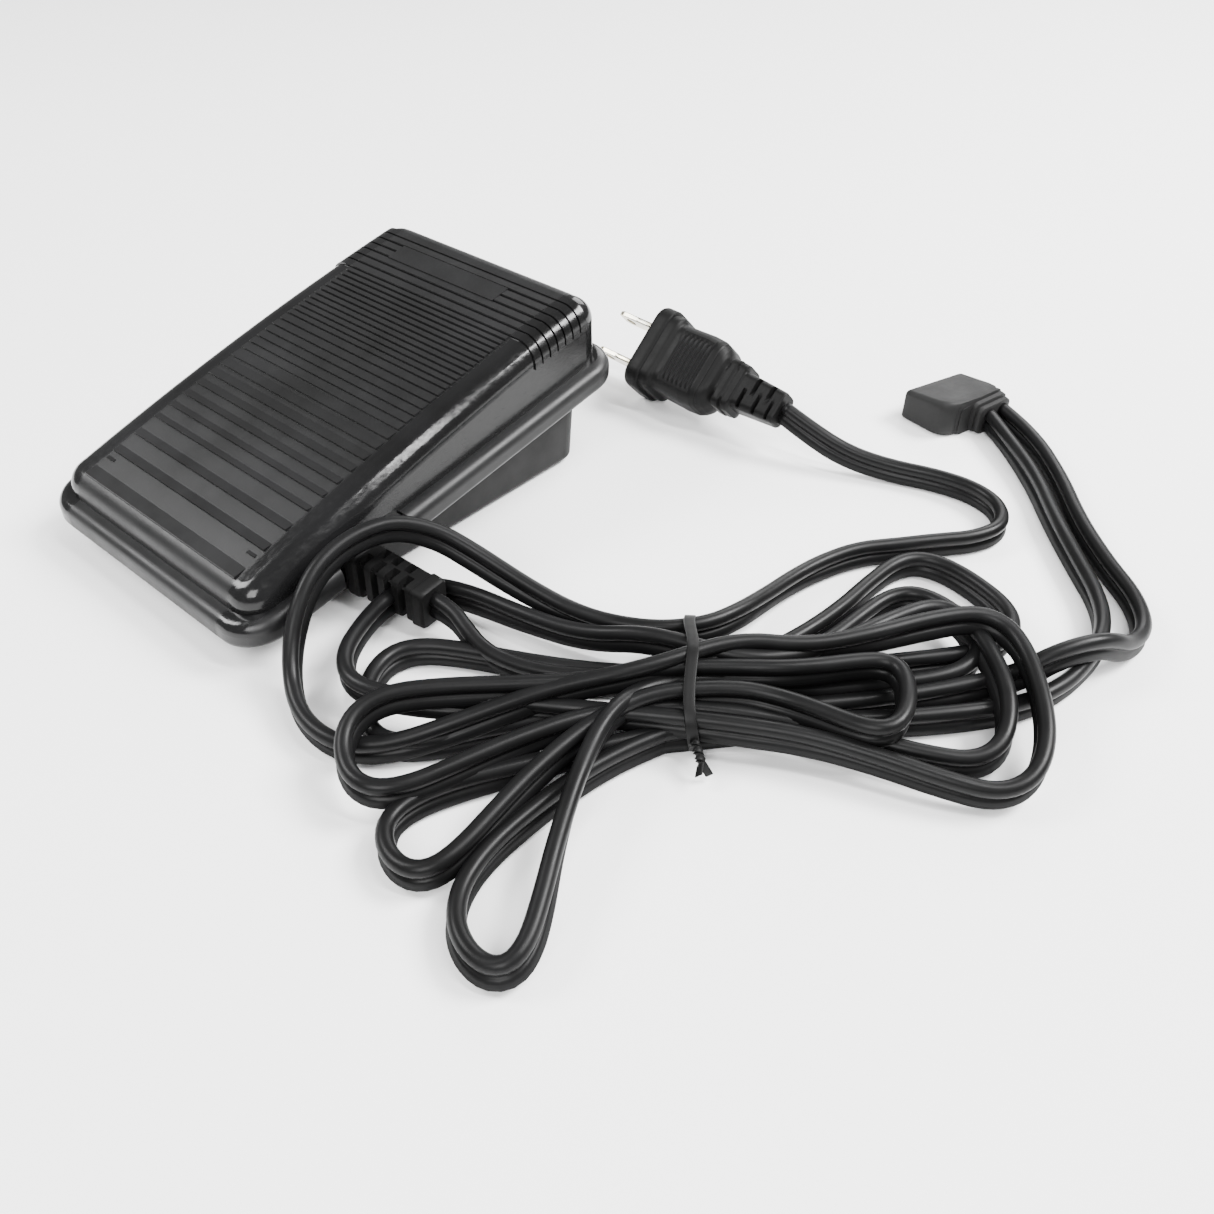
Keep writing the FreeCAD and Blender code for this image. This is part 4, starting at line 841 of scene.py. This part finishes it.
# the loose turn over the boot
LOOSE_LOOP = [(96, -2.5, 8.0), (86, -4.5, 7.5), (77, -7, 9.5), (69, -9, 12.0), (61, -11.5, 15.5),
              (53, -15, 19.6), (46.6, -21.5, 22.6), (44.2, -29, 23.0), (43.4, -36.5, 22.0),
              (44.2, -43.5, 20.0), (46.4, -50, 16.0), (49.6, -56, 9.8), (55, -61, 5.0),
              (62, -64.5, CORD_Z), (70, -66, CORD_Z), (78, -64.5, CORD_Z), (85.5, -58, 4.5), (92, -49, 7.0),
              (98, -39, 9.5), (104, -28, 11.5)]

# the two cords from the bundle to the machine connector
LEAD_A = [(150, 17, CORD_Z), (163, 33, CORD_Z), (173, 47, 5.0), (178.6, 55, 10.4), (184.3, 64.5, 10.4),
          (188, 73, 5.0), (188.3, 83, CORD_Z), (182, 93, CORD_Z), (171, 102, CORD_Z), (158, 115, CORD_Z),
          (146, 131, CORD_Z), (131, 146, 4.2)]

LEAD_B = [(148, 8, CORD_Z), (160, 19, CORD_Z), (170, 30, CORD_Z), (178, 41, CORD_Z), (181.5, 52, CORD_Z),
          (182.4, 60, CORD_Z), (182.4, 68.5, CORD_Z), (180.6, 78, CORD_Z), (175, 87.5, CORD_Z),
          (165, 98, CORD_Z), (152.6, 111.6, CORD_Z), (141, 126, CORD_Z), (126, 139.5, 4.2)]

# from the boot into the bundle
BOOT_RUN = [(60.3, -23.7, 8.0), (66.3, -23.1, 7.8), (72.5, -24.8, 6.6), (79, -25.5, 4.6), (88, -23.5, CORD_Z),
            (98, -19, CORD_Z)]


def through_tie(way, off_in, off_out, height):
    """Two points that carry a strand under the tie; way is +1 towards +X and -1 back."""
    points = []
    for end, off in ((-1, off_in), (1, off_out)):
        spot = TIE_AT + TIE_AXIS * (way * end * TIE_HALF) + TIE_ACROSS * off
        points.append((spot.x, spot.y, height))
    return points


def lobe(way, heading, reach, offs, spreads, heights):
    """One loose turn beyond the tie: out from one offset, round, and back at the other.

    way is +1 towards +X and -1 back, heading its direction in degrees, reach how far it goes. offs are where
    it leaves and meets the tie, spreads how wide each half bows, heights its height at LOBE_STATIONS.
    """
    base = TIE_AT + TIE_AXIS * (way * (TIE_HALF + 2.0))
    out = Vector((math.cos(math.radians(heading)), math.sin(math.radians(heading)), 0))
    side = Vector((-out.y, out.x, 0))
    points = []
    for k in range(1, LOBE_POINTS + 1):
        u = k / (LOBE_POINTS + 1)
        near = 0.5 + 0.5 * math.cos(2 * math.pi * u)
        off = offs[0] * (1 - u) + offs[1] * u
        spread = spreads[0] if u < 0.5 else spreads[1]
        swing = spread * math.sin(2 * math.pi * u) * math.sin(math.pi * u) / SWING_PEAK
        lead = TIE_AXIS * (way * LEAD_SHARE * reach * math.sin(math.pi * u) * near)
        drift = side * (swing + way * off * 0.25 * (1 - near))
        run = out * (reach * math.sin(math.pi * u) ** LOBE_SHARP)
        spot = base + lead + TIE_ACROSS * off * near + run + drift
        points.append((spot.x, spot.y, float(np.interp(u, LOBE_STATIONS, heights))))
    return points


def power_route():
    """Plug, run, the loose loop over the boot, then back and forth through the tie to the connector."""
    route = list(POWER_RUN)
    route += LOOSE_LOOP
    route += through_tie(1, -3, 7, 14.0)
    route += lobe(1, 33, 63, (7, -14), (24, 17), (12.5, 13.5, 9.5, 4.5, 9.0))
    route += through_tie(-1, -13, -11, 8.0)
    route += lobe(-1, 211, 66, (-11, 12), (13, 24), (7.0, 9.0, 8.0, 4.5, 8.0))
    route += through_tie(1, 10, 3, 12.0)
    route += lobe(1, 41, 56, (3, -9), (26, 16), (11.0, 9.0, 9.0, 4.2, 6.0))
    route += through_tie(-1, -9, -8, 7.5)
    route += lobe(-1, 243, 65, (-8, -2), (10, 10), (9.0, 7.5, 8.0, 13.0, 11.0))
    route += through_tie(1, -1, 0, 12.0)
    route += lobe(1, 26, 34, (0, -5), (10.5, 9), (12.5, 12.5, 12.5, 12.0, 10.0))
    route += through_tie(-1, -5, -7, 11.0)
    route += lobe(-1, 263, 66, (-7, -12), (9.5, 9), (10.5, 5.5, CORD_Z, CORD_Z, CORD_Z))
    route += through_tie(1, -13, -9, CORD_Z)
    return route + LEAD_B + [connector_entry(4.5)]


def pedal_route():
    """Boot, under the loops into the tie, then back and forth to the connector."""
    route = list(BOOT_RUN)
    route += through_tie(1, 5, 9, CORD_Z)
    route += lobe(1, 68, 73, (12, 3), (22, 12), (4.5, CORD_Z, CORD_Z, CORD_Z, 4.5))
    route += through_tie(-1, 3, 6, CORD_Z)
    route += lobe(-1, 221, 60, (6, -6), (-13, -15), [CORD_Z] * 5)
    route += through_tie(1, -5, 4, CORD_Z)
    route += lobe(1, 63, 58, (6, -2), (17, 10), (CORD_Z, 4.5, 6.5, 5.0, CORD_Z))
    route += through_tie(-1, 0, -3, 9.0)
    route += lobe(-1, 287, 74, (-3, -13), (9, 8.5), (14.0, 6.0, CORD_Z, CORD_Z, CORD_Z))
    route += through_tie(1, -14, -4, CORD_Z)
    return route + LEAD_A + [connector_entry(10.5)]


def connector_entry(side):
    """Where a lead meets the connector's collar."""
    spot = CONNECTOR_TURN @ Vector((13.0, side, 4.3)) + CONNECTOR_AT
    return tuple(spot)


# azimuth, elevation and roll in degrees; the place in metres; the lens and sensor in millimetres
CAMERA_ANGLES = (40.505, 40.203, 0.81)
CAMERA_AT = (0.2228, -0.15183, 0.17947)
CAMERA_LENS = 33.68
CAMERA_SENSOR = 36.0


def pedal_frame_camera():
    """The camera, standing where the photograph was taken from."""
    azimuth, elevation, roll = (math.radians(angle) for angle in CAMERA_ANGLES)
    ahead = Vector((-math.sin(azimuth) * math.cos(elevation), math.cos(azimuth) * math.cos(elevation),
                    -math.sin(elevation)))
    level = Vector((math.cos(azimuth), math.sin(azimuth), 0.0))
    above = level.cross(ahead)
    right = level * math.cos(roll) + above * math.sin(roll)
    up = above * math.cos(roll) - level * math.sin(roll)
    data = bpy.data.cameras.new("camera")
    data.lens = CAMERA_LENS
    data.sensor_width = CAMERA_SENSOR
    data.clip_start = 0.01
    camera = bpy.data.objects.new("camera", data)
    turn = Matrix((right, up, -ahead)).transposed().to_4x4()
    camera.matrix_world = Matrix.Translation(Vector(CAMERA_AT)) @ turn
    bpy.context.scene.collection.objects.link(camera)
    bpy.context.scene.camera = camera


FLOOR_HALF = 4.0
WORLD_STRENGTH = 0.42
LAMP_AIM = Vector((0.07, 0.02, 0.0))
# name, place, width, length, power
LAMPS = (
    ("key", (0.62, 0.72, 0.95), 0.5, 0.5, 46.0),
    ("left", (-0.8, -0.5, 0.95), 0.5, 0.5, 20.0),
    ("back", (-0.35, 1.15, 0.7), 0.7, 0.7, 12.0),
    ("front", (0.5, -0.95, 0.95), 0.7, 0.7, 24.0),
    ("edge", (0.48, 0.13, 0.8), 0.08, 0.62, 8.0),
)


def studio():
    """A pale floor, four broad soft lights and a narrow one for the cover's edge."""
    corners = [(x * FLOOR_HALF, y * FLOOR_HALF, 0) for x, y in ((-1, -1), (1, -1), (1, 1), (-1, 1))]
    mesh = bpy.data.meshes.new("floor")
    mesh.from_pydata(corners, [], [(0, 1, 2, 3)])
    floor = bpy.data.objects.new("floor", mesh)
    bpy.context.scene.collection.objects.link(floor)
    shade = Shade("floor_paper")
    shade.color(shade.blend(shade.noise(3.0, 2.0), grey(0.92), grey(0.95)))
    shade.surface.inputs["Roughness"].default_value = 0.9
    mesh.materials.append(shade.material)
    world = bpy.data.worlds.new("studio")
    world.use_nodes = True
    world.node_tree.nodes["Background"].inputs[0].default_value = (1.0, 1.0, 1.0, 1)
    world.node_tree.nodes["Background"].inputs[1].default_value = WORLD_STRENGTH
    bpy.context.scene.world = world
    for name, place, wide, long, power in LAMPS:
        data = bpy.data.lights.new(name, "AREA")
        data.shape = "RECTANGLE"
        data.size = wide
        data.size_y = long
        data.energy = power
        lamp = bpy.data.objects.new(name, data)
        lamp.location = place
        lamp.rotation_euler = (LAMP_AIM - Vector(place)).to_track_quat("-Z", "Y").to_euler()
        bpy.context.scene.collection.objects.link(lamp)


# ---------------------------------------------------------------- the whole

dress_frame()
studio()
pedal_frame_camera()
power_cord, power_line = flat_cord("power_cord", power_route(), 3)
pedal_cord, pedal_line = flat_cord("pedal_cord", pedal_route(), 8)
plug = wall_plug()
blades = [plug_blade("blade_upper", 1, "plug_blade_upper"),
          plug_blade("blade_lower", -1, "plug_blade_lower")]
connector = machine_connector()
boot = cord_boot()
tie = wire_tie([power_line, pedal_line])
for node in SPRING_NODES:
    return_spring(node)
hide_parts("power_cord_run", "cord_loop", "machine_lead_b", "cord_hank")
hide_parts("pedal_cord_run", "machine_lead_a")
